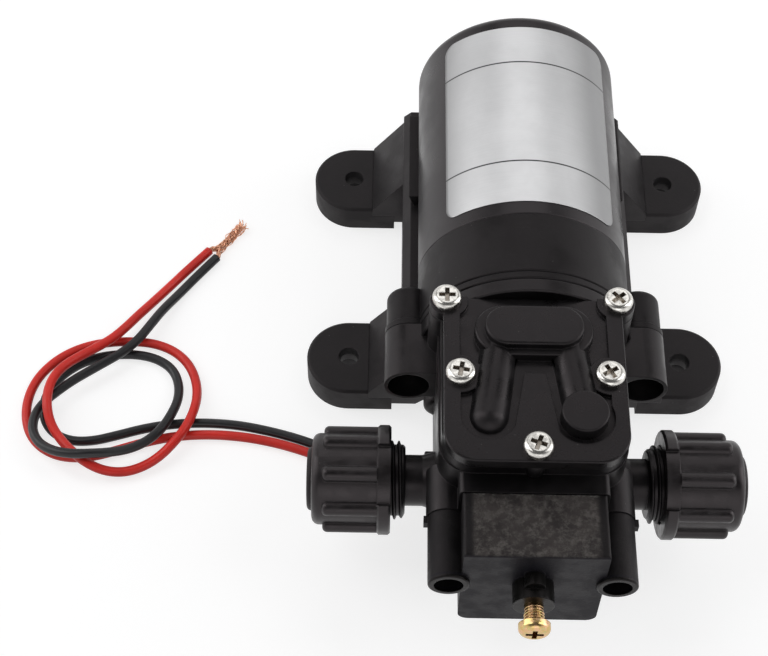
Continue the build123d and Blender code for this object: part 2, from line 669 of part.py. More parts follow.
def pump_diaphragm():
    """Moulded rubber disc: clamped bead, hanging roll and middle web.

    It is shown at bottom dead centre, with the web one throw below the bead.
    """
    bead_low = BODY_TOP - DIA_THICK
    web_low = disc_top()
    web_top = web_low + WEB_THICK
    mid = (ROD_DISC[0] + POCKET_R) / 2
    out_r = (POCKET_R - ROD_DISC[0]) / 2 - ROLL_GAP
    in_r = out_r - ROLL_WALL
    arc_z = web_low + WEB_THICK / 2
    meet = mid - (out_r ** 2 - (arc_z - web_low) ** 2) ** 0.5
    lower = Polyline((CLAMP_HOLE_R, 0, web_low), (meet, 0, web_low))
    under = ThreePointArc(lower @ 1, (mid, 0, arc_z - out_r), (mid + out_r, 0, arc_z))
    bead = Polyline(under @ 1, (mid + out_r, 0, bead_low), (DIA_R, 0, bead_low), (DIA_R, 0, BODY_TOP),
                    (mid + in_r, 0, BODY_TOP), (mid + in_r, 0, arc_z))
    over = ThreePointArc(bead @ 1, (mid, 0, arc_z - in_r), (mid - in_r, 0, arc_z))
    upper = Polyline(over @ 1, (mid - in_r, 0, web_top), (CLAMP_HOLE_R, 0, web_top), lower @ 0)
    section = make_face([lower, under, bead, over, upper])
    return Pos(0, CRANK_Y, 0) * revolve(section, Axis.Z)


def clamp_washer():
    """Dished washer that holds the diaphragm down on the rod."""
    low = disc_top() + WEB_THICK
    washer_r, thick = WASHER
    washer = rod_z(washer_r, low, low + thick, 0, CRANK_Y)
    washer = fillet(edges_at(washer, Axis.Z, low + thick), 0.8)
    washer -= Pos(0, CRANK_Y, low + thick) * clamp_head(CLAMP_HEAD)
    return washer - rod_z(CLAMP_SCREW_R, low, low + thick, 0, CRANK_Y)


def clamp_head(head):
    """Countersunk head below z = 0."""
    head_r, head_high = head
    return Cone(CLAMP_SCREW_R, head_r, head_high, align=(Align.CENTER, Align.CENTER, Align.MAX))


def clamp_screw():
    """Countersunk screw through washer, diaphragm and rod."""
    top = disc_top() + WEB_THICK + WASHER[1]
    end = CRANK_Z + CRANK_BEARING[0] + 0.4
    recess = Pos(0, 0, -0.9) * cross_recess(CLAMP_HEAD[0] * 0.8, 0.6)
    screw = Pos(0, CRANK_Y, top) * (clamp_head(CLAMP_HEAD) - recess)
    return screw + rod_z(CLAMP_SCREW_R, end, top - CLAMP_HEAD[1], 0, CRANK_Y)


def stack_outline(half, front, corner, rear):
    """Plan of the pump head: round front corners and a lug at each rear screw."""
    length = rear - front
    plan = Pos(0, (rear + front) / 2) * Rectangle(2 * half, length)
    plan = fillet(plan.vertices().group_by(Axis.Y)[0], corner)
    for x, y in COVER_SCREWS[:2]:
        plan += Pos(x, y) * Circle(LUG_R)
    behind = Pos(0, rear + LUG_R) * Rectangle(4 * half, 2 * LUG_R)
    return plan - behind


def screw_holes(radius, z0, z1):
    return [rod_z(radius, z0, z1, x, y) for x, y in COVER_SCREWS]


def channel_holes(z0, z1):
    return [rod_z(CHANNEL_R, z0, z1, side * CHANNEL_X, PORT_Y) for side in (-1, 1)]


def pump_body():
    """Main moulding: rear flange, crank chamber, ports, side barrels and neck."""
    body = disc_y(CAN_R, FLANGE_FRONT, PLATE_FRONT, SEAM_CHAMFER)
    plan = stack_outline(BODY_HALF, BODY_FRONT, BODY_CORNER, FLANGE_FRONT + 0.2)
    trunk = rise(plan, BODY_BOTTOM, BODY_TOP)
    trunk = fillet(edges_at(trunk, Axis.Z, BODY_BOTTOM), BODY_EDGE)
    body += trunk
    neck = block(-NECK_HALF, NECK_HALF, SEAM_Y, BODY_FRONT + BODY_CORNER, BOX_BOTTOM, BOX_TOP)
    body += fillet(neck.edges().filter_by(Axis.Y), 1.2)
    for side in (-1, 1):
        x = side * BARREL_X
        body += rod_y(BARREL_R, BARREL_MOUTH, PLATE_FRONT, x)
        body += block(x, side * (BODY_HALF - 1), BARREL_MOUTH, PLATE_FRONT,
                      AXIS_Z - BARREL_R + 1, AXIS_Z + BARREL_R)
        body += rod_y(TUBE_REAR_R, SEAM_Y, TUBE_REAR, side * TUBE_X, TUBE_Z)
        boss = rod_y(LOWER_BOSS_R, LOWER_BOSS_FRONT, PLATE_FRONT, side * LOWER_BOSS_X, LOWER_BOSS_Z)
        body += fillet(edges_at(boss, Axis.Y, LOWER_BOSS_FRONT), 1.5)
        body += port_outside(side)
    end = CRANK_Y - CRANK_BEARING[1] / 2 - CRANK_CLEAR
    body -= rod_y(CHAMBER_R, end, PLATE_FRONT)
    body -= rod_z(POCKET_R, AXIS_Z, BODY_TOP, 0, CRANK_Y)
    body -= rod_z(DIA_R, BODY_TOP - DIA_THICK, BODY_TOP, 0, CRANK_Y)
    body -= screw_holes(COVER_SCREW_R, RIM_TOP - COVER_SCREW_LENGTH - 1, RIM_TOP)
    body -= channel_holes(PORT_Z, BODY_TOP)
    for side in (-1, 1):
        x = side * BARREL_X
        body -= rod_y(BARREL_BORE_R, BARREL_MOUTH, BARREL_MOUTH + BARREL_BORE_DEPTH, x)
        body -= rod_y(FRAME_SCREW_R, BARREL_MOUTH, PLATE_FRONT, x)
        body -= rod_x(PORT_BORE_R, side * CHANNEL_X, side * THREAD_END, PORT_Y, PORT_Z)
        body -= rod_y(SWITCH_SCREW_R, SEAM_Y, SWITCH_SCREW_END + 1, side * TUBE_X, TUBE_Z)
    body -= rod_y(SENSE_R, SEAM_Y, PORT_Y, SENSE_X, TUBE_Z)
    body -= rod_y(SENSE_POCKET[0], SEAM_Y, SEAM_Y + SENSE_POCKET[1])
    return body - grommet_seat()


def port_outside(side):
    """Spigot with a flared root and the core of its outer thread."""
    flare = Cone(SPIGOT_R + 0.9, SPIGOT_R, 3.0)
    root = Pos(side * (BODY_HALF + 1.5), PORT_Y, PORT_Z) * Rot(0, side * 90, 0) * flare
    spigot = rod_x(SPIGOT_R, side * (CHANNEL_X + CHANNEL_R), side * THREAD_END, PORT_Y, PORT_Z)
    core = rod_x(THREAD_ROOT_R, side * THREAD_START, side * THREAD_END, PORT_Y, PORT_Z)
    ends = edges_at(core, Axis.X, side * THREAD_START) + edges_at(core, Axis.X, side * THREAD_END)
    return spigot + root + chamfer(ends, 0.5)


def valve_plate():
    """Plate with the pump chamber below and the two valve seats."""
    plan = stack_outline(VALVE_PLATE_HALF, BODY_FRONT, BODY_CORNER, FLANGE_FRONT)
    plate = rise(plan, BODY_TOP, VALVE_PLATE_TOP)
    plate -= rod_z(POCKET_R, BODY_TOP, BODY_TOP + POCKET_DEPTH, 0, CRANK_Y)
    plate -= screw_holes(COVER_SCREW_R, BODY_TOP, VALVE_PLATE_TOP)
    plate -= channel_holes(BODY_TOP, VALVE_PLATE_TOP)
    z0 = BODY_TOP + POCKET_DEPTH
    for side in (-1, 1):
        plate -= rod_z(VALVE_STEM_R, z0, VALVE_PLATE_TOP, side * VALVE_X, VALVE_Y)
        for i in range(4):
            a = radians(45 + 90 * i)
            x = side * VALVE_X + 2.5 * cos(a)
            plate -= rod_z(0.9, z0, VALVE_PLATE_TOP, x, VALVE_Y + 2.5 * sin(a))
    return plate


def umbrella_valve(x, seat, way):
    """Rubber disc with a stem and a bead that snaps through the seat."""
    web = VALVE_PLATE_TOP - BODY_TOP - POCKET_DEPTH
    disc = Cylinder(VALVE_R, VALVE_THICK, align=(Align.CENTER, Align.CENTER, Align.MIN))
    disc = chamfer(edges_at(disc, Axis.Z, VALVE_THICK), 0.4)
    stem = Cylinder(VALVE_STEM_R, web, align=(Align.CENTER, Align.CENTER, Align.MAX))
    bead = Pos(0, 0, -web) * Cylinder(VALVE_STEM_R + 0.5, 0.7, align=(Align.CENTER, Align.CENTER, Align.MAX))
    turn = Rot(0, 0, 0) if way > 0 else Rot(180, 0, 0)
    return Pos(x, VALVE_Y, seat) * turn * (disc + stem + bead)


def gasket_and_cover_holes(z0, z1):
    """Openings over the valves and the two port channels."""
    over = [rod_z(VALVE_R + 0.4, z0, z1, side * VALVE_X, VALVE_Y) for side in (-1, 1)]
    return over + channel_holes(z0, z1)


def head_gasket():
    """Flat rubber gasket under the cover."""
    plan = stack_outline(VALVE_PLATE_HALF, BODY_FRONT, BODY_CORNER, FLANGE_FRONT)
    sheet = rise(plan, VALVE_PLATE_TOP, GASKET_TOP)
    sheet -= screw_holes(COVER_SCREW_R, VALVE_PLATE_TOP, GASKET_TOP)
    return sheet - gasket_and_cover_holes(VALVE_PLATE_TOP, GASKET_TOP)


def pill(half_long, half_wide):
    return Pos(0, PILL_Y) * SlotOverall(2 * half_long, 2 * half_wide)


def sunk_field():
    """Plan of the sunk field inside the cover's rim."""
    side = COVER_HALF - RIM_WIDTH
    field = Pos(0, (FLANGE_FRONT + LEG_END_Y) / 2) * Rectangle(2 * side, FLANGE_FRONT - LEG_END_Y)
    for x, r in ((-LEG_END_X, LEG_R + 1.8), (LEG_END_X, DISC_R + 1.6)):
        field += Pos(x, LEG_END_Y) * Circle(r)
    for x, y in COVER_SCREWS[:4]:
        field -= Pos(x, y) * Circle(LUG_R + 0.9)
    narrow, wide = ISLAND_HALF
    rear, front = PILL_Y - ISLAND_GAP, COVER_FRONT - 1
    bend = LEG_END_Y - ISLAND_PAST_LEGS
    island = Polyline((-narrow, rear), (narrow, rear), (wide, bend), (wide, front),
                      (-wide, front), (-wide, bend), close=True)
    return field - make_face(island)


def leg(side):
    """Rounded ridge over the flow channel from the valve boss to the port."""
    start = Vector(side * LEG_START_X, PILL_Y, leg_z())
    end = Vector(side * LEG_END_X, LEG_END_Y, leg_z())
    along = end - start
    ridge = Plane(origin=start, z_dir=along) * post(LEG_R, along.length)
    ridge += Pos(*end) * Sphere(LEG_R)
    return ridge & block(-COVER_HALF, COVER_HALF, COVER_FRONT, FLANGE_FRONT, GASKET_TOP, RIM_TOP + 2 * LEG_R)


def leg_z():
    """Height of the axis of the rounded legs."""
    return RIM_TOP - 2.4


def head_cover():
    """Cover with a raised rim, the pill-shaped valve boss and two legs."""
    plan = stack_outline(COVER_HALF, COVER_FRONT, BODY_CORNER, FLANGE_FRONT)
    cover = rise(plan, GASKET_TOP, RIM_TOP)
    cover = fillet(edges_at(cover, Axis.Z, RIM_TOP), 0.4)
    cover -= rise(sunk_field(), GASKET_TOP + COVER_FIELD, RIM_TOP)
    for side in (-1, 1):
        cover += leg(side)
    disc = rod_z(DISC_R, GASKET_TOP, RIM_TOP + DISC_OVER_RIM, LEG_END_X, LEG_END_Y)
    cover += fillet(edges_at(disc, Axis.Z, RIM_TOP + DISC_OVER_RIM), 0.4)
    for half_long, half_wide, high in PILL_STEPS:
        step = rise(pill(half_long, half_wide), GASKET_TOP, RIM_TOP + high)
        cover += fillet(edges_at(step, Axis.Z, RIM_TOP + high), 0.6)
    cover -= screw_holes(COVER_SCREW_R, GASKET_TOP, RIM_TOP)
    for side in (-1, 1):
        cover -= rod_z(VALVE_R + 0.4, GASKET_TOP, GASKET_TOP + 2.0, side * VALVE_X, VALVE_Y)
        cover -= flow_groove(side)
    return cover


def flow_groove(side):
    """Channel under a leg, open to the gasket."""
    dx = side * (CHANNEL_X - VALVE_X)
    dy = PORT_Y - VALVE_Y
    angle = degrees(atan2(dy, dx))
    mid = Pos((side * (CHANNEL_X + VALVE_X)) / 2, (PORT_Y + VALVE_Y) / 2)
    plan = mid * Rot(0, 0, angle) * SlotOverall(hypot(dx, dy) + 2 * CHANNEL_R, 2 * CHANNEL_R - 0.8)
    return rise(plan, GASKET_TOP, GASKET_TOP + 2.6)


def cover_screws():
    """Five pan head screws through cover, gasket and valve plate."""
    screw = screw_up(COVER_SCREW_R, COVER_HEAD, COVER_SCREW_LENGTH)
    return Compound([Pos(x, y, RIM_TOP) * Rot(0, 0, 40 * i) * screw for i, (x, y) in enumerate(COVER_SCREWS)])


def frame_screws():
    """Long screws in the side barrels that tie the castings together."""
    seat = BARREL_MOUTH + BARREL_BORE_DEPTH
    return Compound(sides(lambda side: screw_y(
        FRAME_SCREW_R, FRAME_HEAD, seat, frame_screw_end(), side * BARREL_X, AXIS_Z)))


def union_nut(side):
    """Ribbed nut with an inner flange, a closed outer end and a plug hole."""
    flange_r, flange_thick = NUT_FLANGE
    nut = post(NUT_R, NUT_END - NUT_START)
    nut = fillet(edges_at(nut, Axis.Z, NUT_END - NUT_START), 1.8)
    length = NUT_END - NUT_START - 2.6
    for i in range(NUT_RIBS):
        rib = post(NUT_RIB_R, length)
        rib = fillet(edges_at(rib, Axis.Z, length), 1.2)
        nut += Rot(0, 0, 360 * (i + 0.5) / NUT_RIBS) * Pos(NUT_R - 0.1, 0, 0) * rib
    flange = post(flange_r, flange_thick)
    nut += chamfer(edges_at(flange, Axis.Z, 0) + edges_at(flange, Axis.Z, flange_thick), 0.5)
    nut -= flange_steps(side)
    depth = NUT_END - NUT_START - NUT_WALL_END
    nut -= post(THREAD_CREST_R + THREAD_GAP, depth)
    nut -= post(PLUG_R + SLIDE_FIT, NUT_END)
    return nut_place(side) * nut


def flange_steps(side):
    """Ring sectors that the flange lacks, centred on a rib."""
    flange_r, flange_thick = NUT_FLANGE
    depth, half_angle = NUT_NOTCH
    reach = 2 * flange_r
    a = radians(half_angle)
    far = reach * cos(a)
    wide = reach * sin(a)
    wedge = make_face(Polyline((0, 0), (far, -wide), (far, wide), close=True))
    ring = rise(Circle(reach) - Circle(flange_r - depth), 0, flange_thick)
    step = ring & rise(wedge, 0, flange_thick)
    rib_at = side * 180 / NUT_RIBS
    return [Rot(0, 0, rib_at + 360 * i / NUT_NOTCHES) * step for i in range(NUT_NOTCHES)]


def nut_place(side):
    """Puts a piece drawn along +Z from z = 0 on the port, pointing outwards."""
    return Pos(side * NUT_START, PORT_Y, PORT_Z) * Rot(0, side * 90, 0)


def blanking_plug(side):
    """Transport plug: a disc behind the nut's end and a domed button in its hole."""
    depth = NUT_END - NUT_START - NUT_WALL_END
    disc = post(THREAD_CREST_R - 0.3, PLUG_DISC, depth - PLUG_DISC)
    tall = NUT_WALL_END + PLUG_BULGE
    button = post(PLUG_R, tall, depth)
    button = fillet(edges_at(button, Axis.Z, depth + tall), PLUG_BULGE * 0.9)
    return nut_place(side) * (disc + button)


def port_seal(side):
    """Flat rubber washer between the plug and the end of the port."""
    x1 = side * (NUT_END - NUT_WALL_END - PLUG_DISC)
    x0 = side * THREAD_END
    return rod_x(THREAD_CREST_R - 0.5, x0, x1, PORT_Y, PORT_Z) - rod_x(PORT_BORE_R, x0, x1, PORT_Y, PORT_Z)


def switch_housing():
    """Box of the pressure switch with its two screw tubes and threaded boss."""
    case = block(-BOX_HALF, BOX_HALF, BOX_FRONT, SEAM_Y, BOX_BOTTOM, BOX_TOP)
    long_edges = case.edges().filter_by(Axis.Y)
    case = fillet(long_edges.group_by(Axis.Z)[0], 2.6)
    case = fillet(edges_at(case, Axis.Z, BOX_TOP), 0.7)
    for side in (-1, 1):
        tube = rod_y(TUBE_R, TUBE_FRONT, SEAM_Y, side * TUBE_X, TUBE_Z)
        case += fillet(edges_at(tube, Axis.Y, TUBE_FRONT), 0.5)
        case += block(side * (TUBE_X + TUBE_R - 0.5), side * (TUBE_X + TUBE_R + 0.9),
                      SEAM_Y - 1.8, SEAM_Y, TUBE_Z - 1.2, TUBE_Z + 1.2)
    boss_r, boss_long = ADJ_BOSS
    case += rod_y(boss_r, BOX_FRONT - boss_long, BOX_FRONT + 1)
    case += rod_y(boss_r * 0.5, BOX_FRONT - boss_long * 0.6, BOX_FRONT + 1, 0, AXIS_Z + boss_r)
    room = BOX_HALF - BOX_WALL
    case -= block(-room, room, BOX_FRONT + BOX_WALL, SEAM_Y, BOX_BOTTOM + BOX_WALL, BOX_TOP - BOX_WALL)
    case -= rod_y(ADJ_R + RUN_FIT, BOX_FRONT - boss_long, BOX_FRONT + BOX_WALL)
    for side in (-1, 1):
        mouth = TUBE_FRONT + TUBE_BORE_DEPTH
        case -= rod_y(TUBE_BORE_R, TUBE_FRONT, mouth, side * TUBE_X, TUBE_Z)
        case -= rod_y(SWITCH_SCREW_R, mouth, SEAM_Y, side * TUBE_X, TUBE_Z)
    return case


def switch_screws():
    """Screws deep in the two tubes that hold the switch to the pump."""
    seat = TUBE_FRONT + TUBE_BORE_DEPTH
    return Compound(sides(lambda side: screw_y(
        SWITCH_SCREW_R, SWITCH_HEAD, seat, SWITCH_SCREW_END, side * TUBE_X, TUBE_Z)))


def switch_diaphragm():
    """Rubber disc that the pump pressure pushes on."""
    radius, thick = SW_DIA
    return rod_y(radius, SEAM_Y - thick, SEAM_Y)


def diaphragm_retainer():
    """Plate inside the box that clamps the switch diaphragm."""
    room = BOX_HALF - BOX_WALL
    front = RETAINER_FRONT
    plate = block(-room, room, front, SEAM_Y, BOX_BOTTOM + BOX_WALL, BOX_TOP - BOX_WALL)
    plate -= rod_y(SW_DIA[0], SEAM_Y - SW_DIA[1], SEAM_Y)
    return plate - rod_y(PLUNGER_R + SLIDE_FIT, front, SEAM_Y)


def switch_plunger():
    """Piston head with a spring spigot and an arm for the microswitch."""
    rear = SEAM_Y - SW_DIA[1] - SOFT_GAP
    front = rear - PLUNGER_HEAD
    piece = rod_y(PLUNGER_R, front, rear)
    shoulder = RETAINER_FRONT - SLIDE_FIT
    if front < shoulder:
        piece -= rod_y(PLUNGER_R, front, shoulder)
        piece += rod_y(PLUNGER_R - 1.5, front, shoulder)
    piece += rod_y(SPRING_R - SPRING_WIRE_R - SLIDE_FIT, front - 1.5, front)
    arm_rear = RETAINER_FRONT - ARM_GAP
    piece += block(-2.0, 2.0, arm_rear - ARM_THICK, arm_rear, MICRO_Z - 1.5, AXIS_Z)
    return piece + rod_y(PLUNGER_R - 1.5, arm_rear - ARM_THICK, rear)


def range_spring():
    """Wound spring between the plunger and the adjustable seat."""
    free = SPRING_LENGTH - 2 * SPRING_WIRE_R
    path = Helix(free / SPRING_TURNS, free, SPRING_R)
    wire = Plane(origin=path @ 0, z_dir=path % 0) * Circle(SPRING_WIRE_R)
    coil = sweep(wire, path, is_frenet=True)
    gap = free / SPRING_TURNS - 2 * SPRING_WIRE_R
    print(f"range spring: gap between turns {gap:.2f} mm")
    return Pos(0, SPRING_REAR - SPRING_WIRE_R, AXIS_Z) * Rot(90, 0, 0) * coil


def spring_seat():
    """Cup on the end of the adjusting screw."""
    rear = SPRING_FRONT
    seat = rod_y(SEAT_R, rear - SEAT_THICK, rear)
    return seat + rod_y(SPRING_R - SPRING_WIRE_R - SLIDE_FIT, rear, rear + 1.5)


def adjusting_screw():
    """Cross-recessed screw that sets the spring, with its thread as a plain core."""
    tip = SPRING_FRONT - SEAT_THICK - RUN_FIT
    return screw_y(ADJ_R, ADJ_HEAD, ADJ_HEAD_REAR, tip, 0, AXIS_Z, domed=True)


def micro_rear():
    """Face of the microswitch that carries its button."""
    return SPRING_REAR - BUTTON[1] - RUN_FIT


def microswitch():
    """Snap-action switch with two terminals."""
    wide, deep, high = MICRO
    y1 = micro_rear()
    body = block(-wide / 2, wide / 2, y1 - deep, y1, MICRO_Z - high / 2, MICRO_Z + high / 2 - 1.0)
    body -= rod_y(BUTTON[0] + SLIDE_FIT, y1 - 2.0, y1, 0, MICRO_Z)
    for side in (-1, 1):
        body += block(side * 4 - 0.3, side * 4 + 0.3, y1 - deep * 0.7, y1 - deep * 0.3,
                      BOX_BOTTOM + BOX_WALL + 0.2, MICRO_Z)
    return body


def switch_button():
    """Button of the microswitch."""
    y1 = micro_rear()
    return rod_y(BUTTON[0], y1 - 0.6, y1 + BUTTON[1], 0, MICRO_Z)


def arm_section(y):
    """Section of one foot arm on the +X side, in the plane at this y."""
    low, high = TAB_SPAN
    inner = BRACKET_HALF - 6
    points = [(inner, BRACKET_BOTTOM), (inner, ARM_TOP), (BRACKET_HALF - 0.5, ARM_TOP), (ARM_FOOT_X, FOOT_HIGH),
              (ARM_FOOT_X, high), (FOOT_INNER, high), (FOOT_INNER, low), (BRACKET_HALF - 4, low)]
    return make_face(Polyline(*[(x, y, z) for x, z in points], close=True))


def arm(side, y):
    """Sloping arm with the tab that fits in a rubber foot."""
    web = extrude(arm_section(y - FOOT_R), 2 * FOOT_R, dir=(0, 1, 0))
    low, high = TAB_SPAN
    tab = block(FOOT_INNER - 2, HOLE_X, y - TAB_R, y + TAB_R, low, high) + rod_z(TAB_R, low, high, HOLE_X, y)
    piece = web + tab - rod_z(HOLE_R, 0, FOOT_HIGH, HOLE_X, y)
    return piece if side > 0 else mirror(piece, Plane.YZ)


def base_bracket():
    """Saddle under the motor with four sloping arms."""
    y0, y1 = -HOLE_Y - FOOT_R, HOLE_Y + FOOT_R
    saddle = block(-BRACKET_HALF, BRACKET_HALF, y0, y1, BRACKET_BOTTOM, BRACKET_TOP)
    saddle = chamfer(saddle.edges().filter_by(Axis.Y).group_by(Axis.Z)[-1], 2.0)
    for side in (-1, 1):
        for y in (-HOLE_Y, HOLE_Y):
            saddle += arm(side, y)
    saddle += cheeks()
    saddle -= rod_y(CAN_R + RUN_FIT, y0, y1)
    for y in (-BRACKET_SCREW_Y, BRACKET_SCREW_Y):
        saddle -= rod_z(BRACKET_SCREW_R, BRACKET_BOTTOM, AXIS_Z, 0, y)
        saddle -= rod_z(BRACKET_HEAD[0] + SLIDE_FIT, BRACKET_BOTTOM, BRACKET_BOTTOM + BRACKET_HEAD[1], 0, y)
    return saddle


def cheeks():
    """Raised pads that follow the can beside the rear feet."""
    pads = []
    for side in (-1, 1):
        pad = rod_y(CAN_R + 3.4, CHEEK_SPAN[0], CHEEK_SPAN[1])
        pad &= block(side * CHEEK_INNER, side * BRACKET_HALF, CHEEK_SPAN[0], CHEEK_SPAN[1],
                     BRACKET_TOP - CHEEK_DEEP, CHEEK_TOP)
        pads.append(pad)
    return pads


def bracket_screws():
    """Screws from below that hold the saddle to the can."""
    grip = AXIS_Z - CAN_R + CAN_WALL - BRACKET_BOTTOM - BRACKET_HEAD[1]
    screw = screw_up(BRACKET_SCREW_R, BRACKET_HEAD, grip, domed=False)
    seat = BRACKET_BOTTOM + BRACKET_HEAD[1]
    return Compound([Pos(0, y, seat) * Rot(180, 0, 0) * screw for y in (-BRACKET_SCREW_Y, BRACKET_SCREW_Y)])


def rubber_feet():
    """Four pads with round ends that slip over the tabs of the bracket."""
    feet = []
    for side in (-1, 1):
        for y in (-HOLE_Y, HOLE_Y):
            plan = Pos((FOOT_INNER + HOLE_X) / 2, y) * Rectangle(HOLE_X - FOOT_INNER, 2 * FOOT_R)
            plan += Pos(HOLE_X, y) * Circle(FOOT_R)
            pad = rise(plan, 0, FOOT_HIGH)
            pad = chamfer(edges_at(pad, Axis.Z, FOOT_HIGH), FOOT_BEVEL)
            pad -= rod_z(HOLE_R, 0, FOOT_HIGH, HOLE_X, y)
            pad = pad - arm(1, y)
            feet.append(pad if side > 0 else mirror(pad, Plane.YZ))
    return Compound(feet)


def grommet_seat():
    """Hole for the grommet in the left wall of the pump body."""
    return rod_x(GROMMET[0] - 1.0, -BODY_HALF, -BODY_HALF + 4.0, EXIT_Y, EXIT_Z)


def wire_grommet():
    """Rubber grommet around the two wires."""
    radius, out = GROMMET
    face = -BODY_HALF
    piece = rod_x(radius, face - out, face, EXIT_Y, EXIT_Z)
    piece = fillet(edges_at(piece, Axis.X, face - out), 0.5)
    return piece + rod_x(radius - 1.0, face, face + 4.0, EXIT_Y, EXIT_Z)


def bend_radii(route):
    """Radius at each inner point: 0.45 of its shorter run over the tangent of half its turn."""
    points = [Vector(*p) for p in route]
    radii = []
    for before, corner, after in zip(points, points[1:], points[2:]):
        half_turn = radians((corner - before).get_angle(after - corner)) / 2
        shorter = min((corner - before).length, (after - corner).length)
        radii.append(0.45 * shorter / tan(half_turn))
    return radii


def self_gap(path, radius):
    """Least clear distance between stretches of one cord that are over 8 diameters apart along it."""
    count = int(path.length)
    points = [path @ (i / count) for i in range(count + 1)]
    apart = int(16 * radius)
    pairs = ((a, b) for i, a in enumerate(points) for b in points[i + apart:])
    return min((a - b).length for a, b in pairs) - 2 * radius


def cord(name, route, radius):
    """Round cord along straight runs joined by tangent arcs."""
    radii = bend_radii(route)
    path = FilletPolyline(*route, radius=radii)
    tube = sweep(Plane(origin=path @ 0, z_dir=path % 0) * Circle(radius), path)
    share = tube.volume / (pi * radius ** 2 * path.length)
    print(f"{name}: length {path.length:.0f} mm, volume share {share:.3f}")
    print(f"{name}: radii {min(radii):.1f} to {max(radii):.0f} mm")
    if path.length > 100 * radius:
        gap = self_gap(path, radius)
        print(f"{name}: least gap to itself {gap:.2f} mm, more than {LEAST_GAP}: {gap > LEAST_GAP}")
    return tube


PIECES = {
    "motor_can": motor_can,
    "label": label,
    "rear_bush": rear_bush,
    "magnet_left": lambda: magnet(-1),
    "magnet_right": lambda: magnet(1),
    "end_bell": end_bell,
    "front_bush": front_bush,
    "motor_screws": motor_screws,
    "brush_plate": brush_plate,
    "carbon_brushes": carbon_brushes,
    "brush_springs": brush_springs,
    "motor_shaft": motor_shaft,
    "armature_core": armature_core,
    "windings": windings,
    "commutator": commutator,
    "spacer_sleeves": spacer_sleeves,
    "motor_adapter": motor_adapter,
    "bearing_plate": bearing_plate,
    "drive_bearing": drive_bearing,
    "eccentric": eccentric,
    "eccentric_set_screw": eccentric_set_screw,
    "crank_bearing": crank_bearing,
    "connecting_rod": connecting_rod,
    "pump_diaphragm": pump_diaphragm,
    "clamp_washer": clamp_washer,
    "clamp_screw": clamp_screw,
    "pump_body": pump_body,
    "valve_plate": valve_plate,
    "inlet_valve": lambda: umbrella_valve(-VALVE_X, BODY_TOP + POCKET_DEPTH, -1),
    "outlet_valve": lambda: umbrella_valve(VALVE_X, VALVE_PLATE_TOP, 1),
    "head_gasket": head_gasket,
    "head_cover": head_cover,
    "cover_screws": cover_screws,
    "frame_screws": frame_screws,
    "inlet_nut": lambda: union_nut(-1),
    "outlet_nut": lambda: union_nut(1),
    "inlet_plug": lambda: blanking_plug(-1),
    "outlet_plug": lambda: blanking_plug(1),
    "inlet_seal": lambda: port_seal(-1),
    "outlet_seal": lambda: port_seal(1),
    "switch_housing": switch_housing,
    "switch_screws": switch_screws,
    "switch_diaphragm": switch_diaphragm,
    "diaphragm_retainer": diaphragm_retainer,
    "switch_plunger": switch_plunger,
    "range_spring": range_spring,
    "spring_seat": spring_seat,
    "adjusting_screw": adjusting_screw,
    "microswitch": microswitch,
    "switch_button": switch_button,
    "base_bracket": base_bracket,
    "bracket_screws": bracket_screws,
    "rubber_feet": rubber_feet,
    "wire_grommet": wire_grommet,
    "black_wire": lambda: cord("black_wire", BLACK_ROUTE, WIRE_R),
    "red_wire": lambda: cord("red_wire", RED_ROUTE, WIRE_R),
    "black_strands": lambda: cord("black_strands", BLACK_STRANDS, STRAND_R),
    "red_strands": lambda: cord("red_strands", RED_STRANDS, STRAND_R),
}

if __name__ == "__main__":
    os.makedirs("parts", exist_ok=True)
    for piece_name, make_piece in PIECES.items():
        write(piece_name, make_piece())
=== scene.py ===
"""Small diaphragm pump: finishes, leads, threads, foil label and stage.

Laid out as a Blender add-on and run as a script.  Metres, in the frame of the
packed model: X across the pump (+X outlet), Y along the motor shaft with the
motor at +Y, Z up from the surface the pump stands on.  The materials measure
in millimetres, and so do the names that end in MM.
"""

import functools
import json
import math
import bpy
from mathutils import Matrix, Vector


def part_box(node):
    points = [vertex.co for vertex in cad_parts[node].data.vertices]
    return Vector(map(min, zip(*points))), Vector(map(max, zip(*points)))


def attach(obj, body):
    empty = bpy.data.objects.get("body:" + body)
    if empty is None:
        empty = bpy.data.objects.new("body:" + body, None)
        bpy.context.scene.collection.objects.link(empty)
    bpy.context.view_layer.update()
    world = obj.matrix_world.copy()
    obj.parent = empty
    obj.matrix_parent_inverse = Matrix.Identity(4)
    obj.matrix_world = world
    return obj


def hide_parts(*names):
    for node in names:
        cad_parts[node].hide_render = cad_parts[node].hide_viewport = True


bl_info = {
    "name": "Diaphragm pump dresser",
    "version": (1, 0, 0),
    "blender": (4, 5, 0),
    "location": "3D View > Sidebar > Pump",
    "description": "Finishes, leads, threads, label and stage for the packed pump model",
    "category": "Object",
}

import bpy
import numpy as np
from mathutils import Matrix, Vector

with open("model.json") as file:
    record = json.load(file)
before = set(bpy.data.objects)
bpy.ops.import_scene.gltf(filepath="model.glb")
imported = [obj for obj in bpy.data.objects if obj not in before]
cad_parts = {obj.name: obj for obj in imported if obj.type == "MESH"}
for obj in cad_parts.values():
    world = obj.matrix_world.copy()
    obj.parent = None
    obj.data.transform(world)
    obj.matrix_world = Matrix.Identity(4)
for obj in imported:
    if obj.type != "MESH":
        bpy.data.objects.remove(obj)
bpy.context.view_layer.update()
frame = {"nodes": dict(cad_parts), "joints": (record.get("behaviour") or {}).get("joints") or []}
JOINTS = {joint["name"]: joint for joint in frame["joints"]}

MM_PER_METRE = 1000.0
ORIGIN = (0.0, 0.0, 0.0)
WHITE = (1.0, 1.0, 1.0, 1.0)

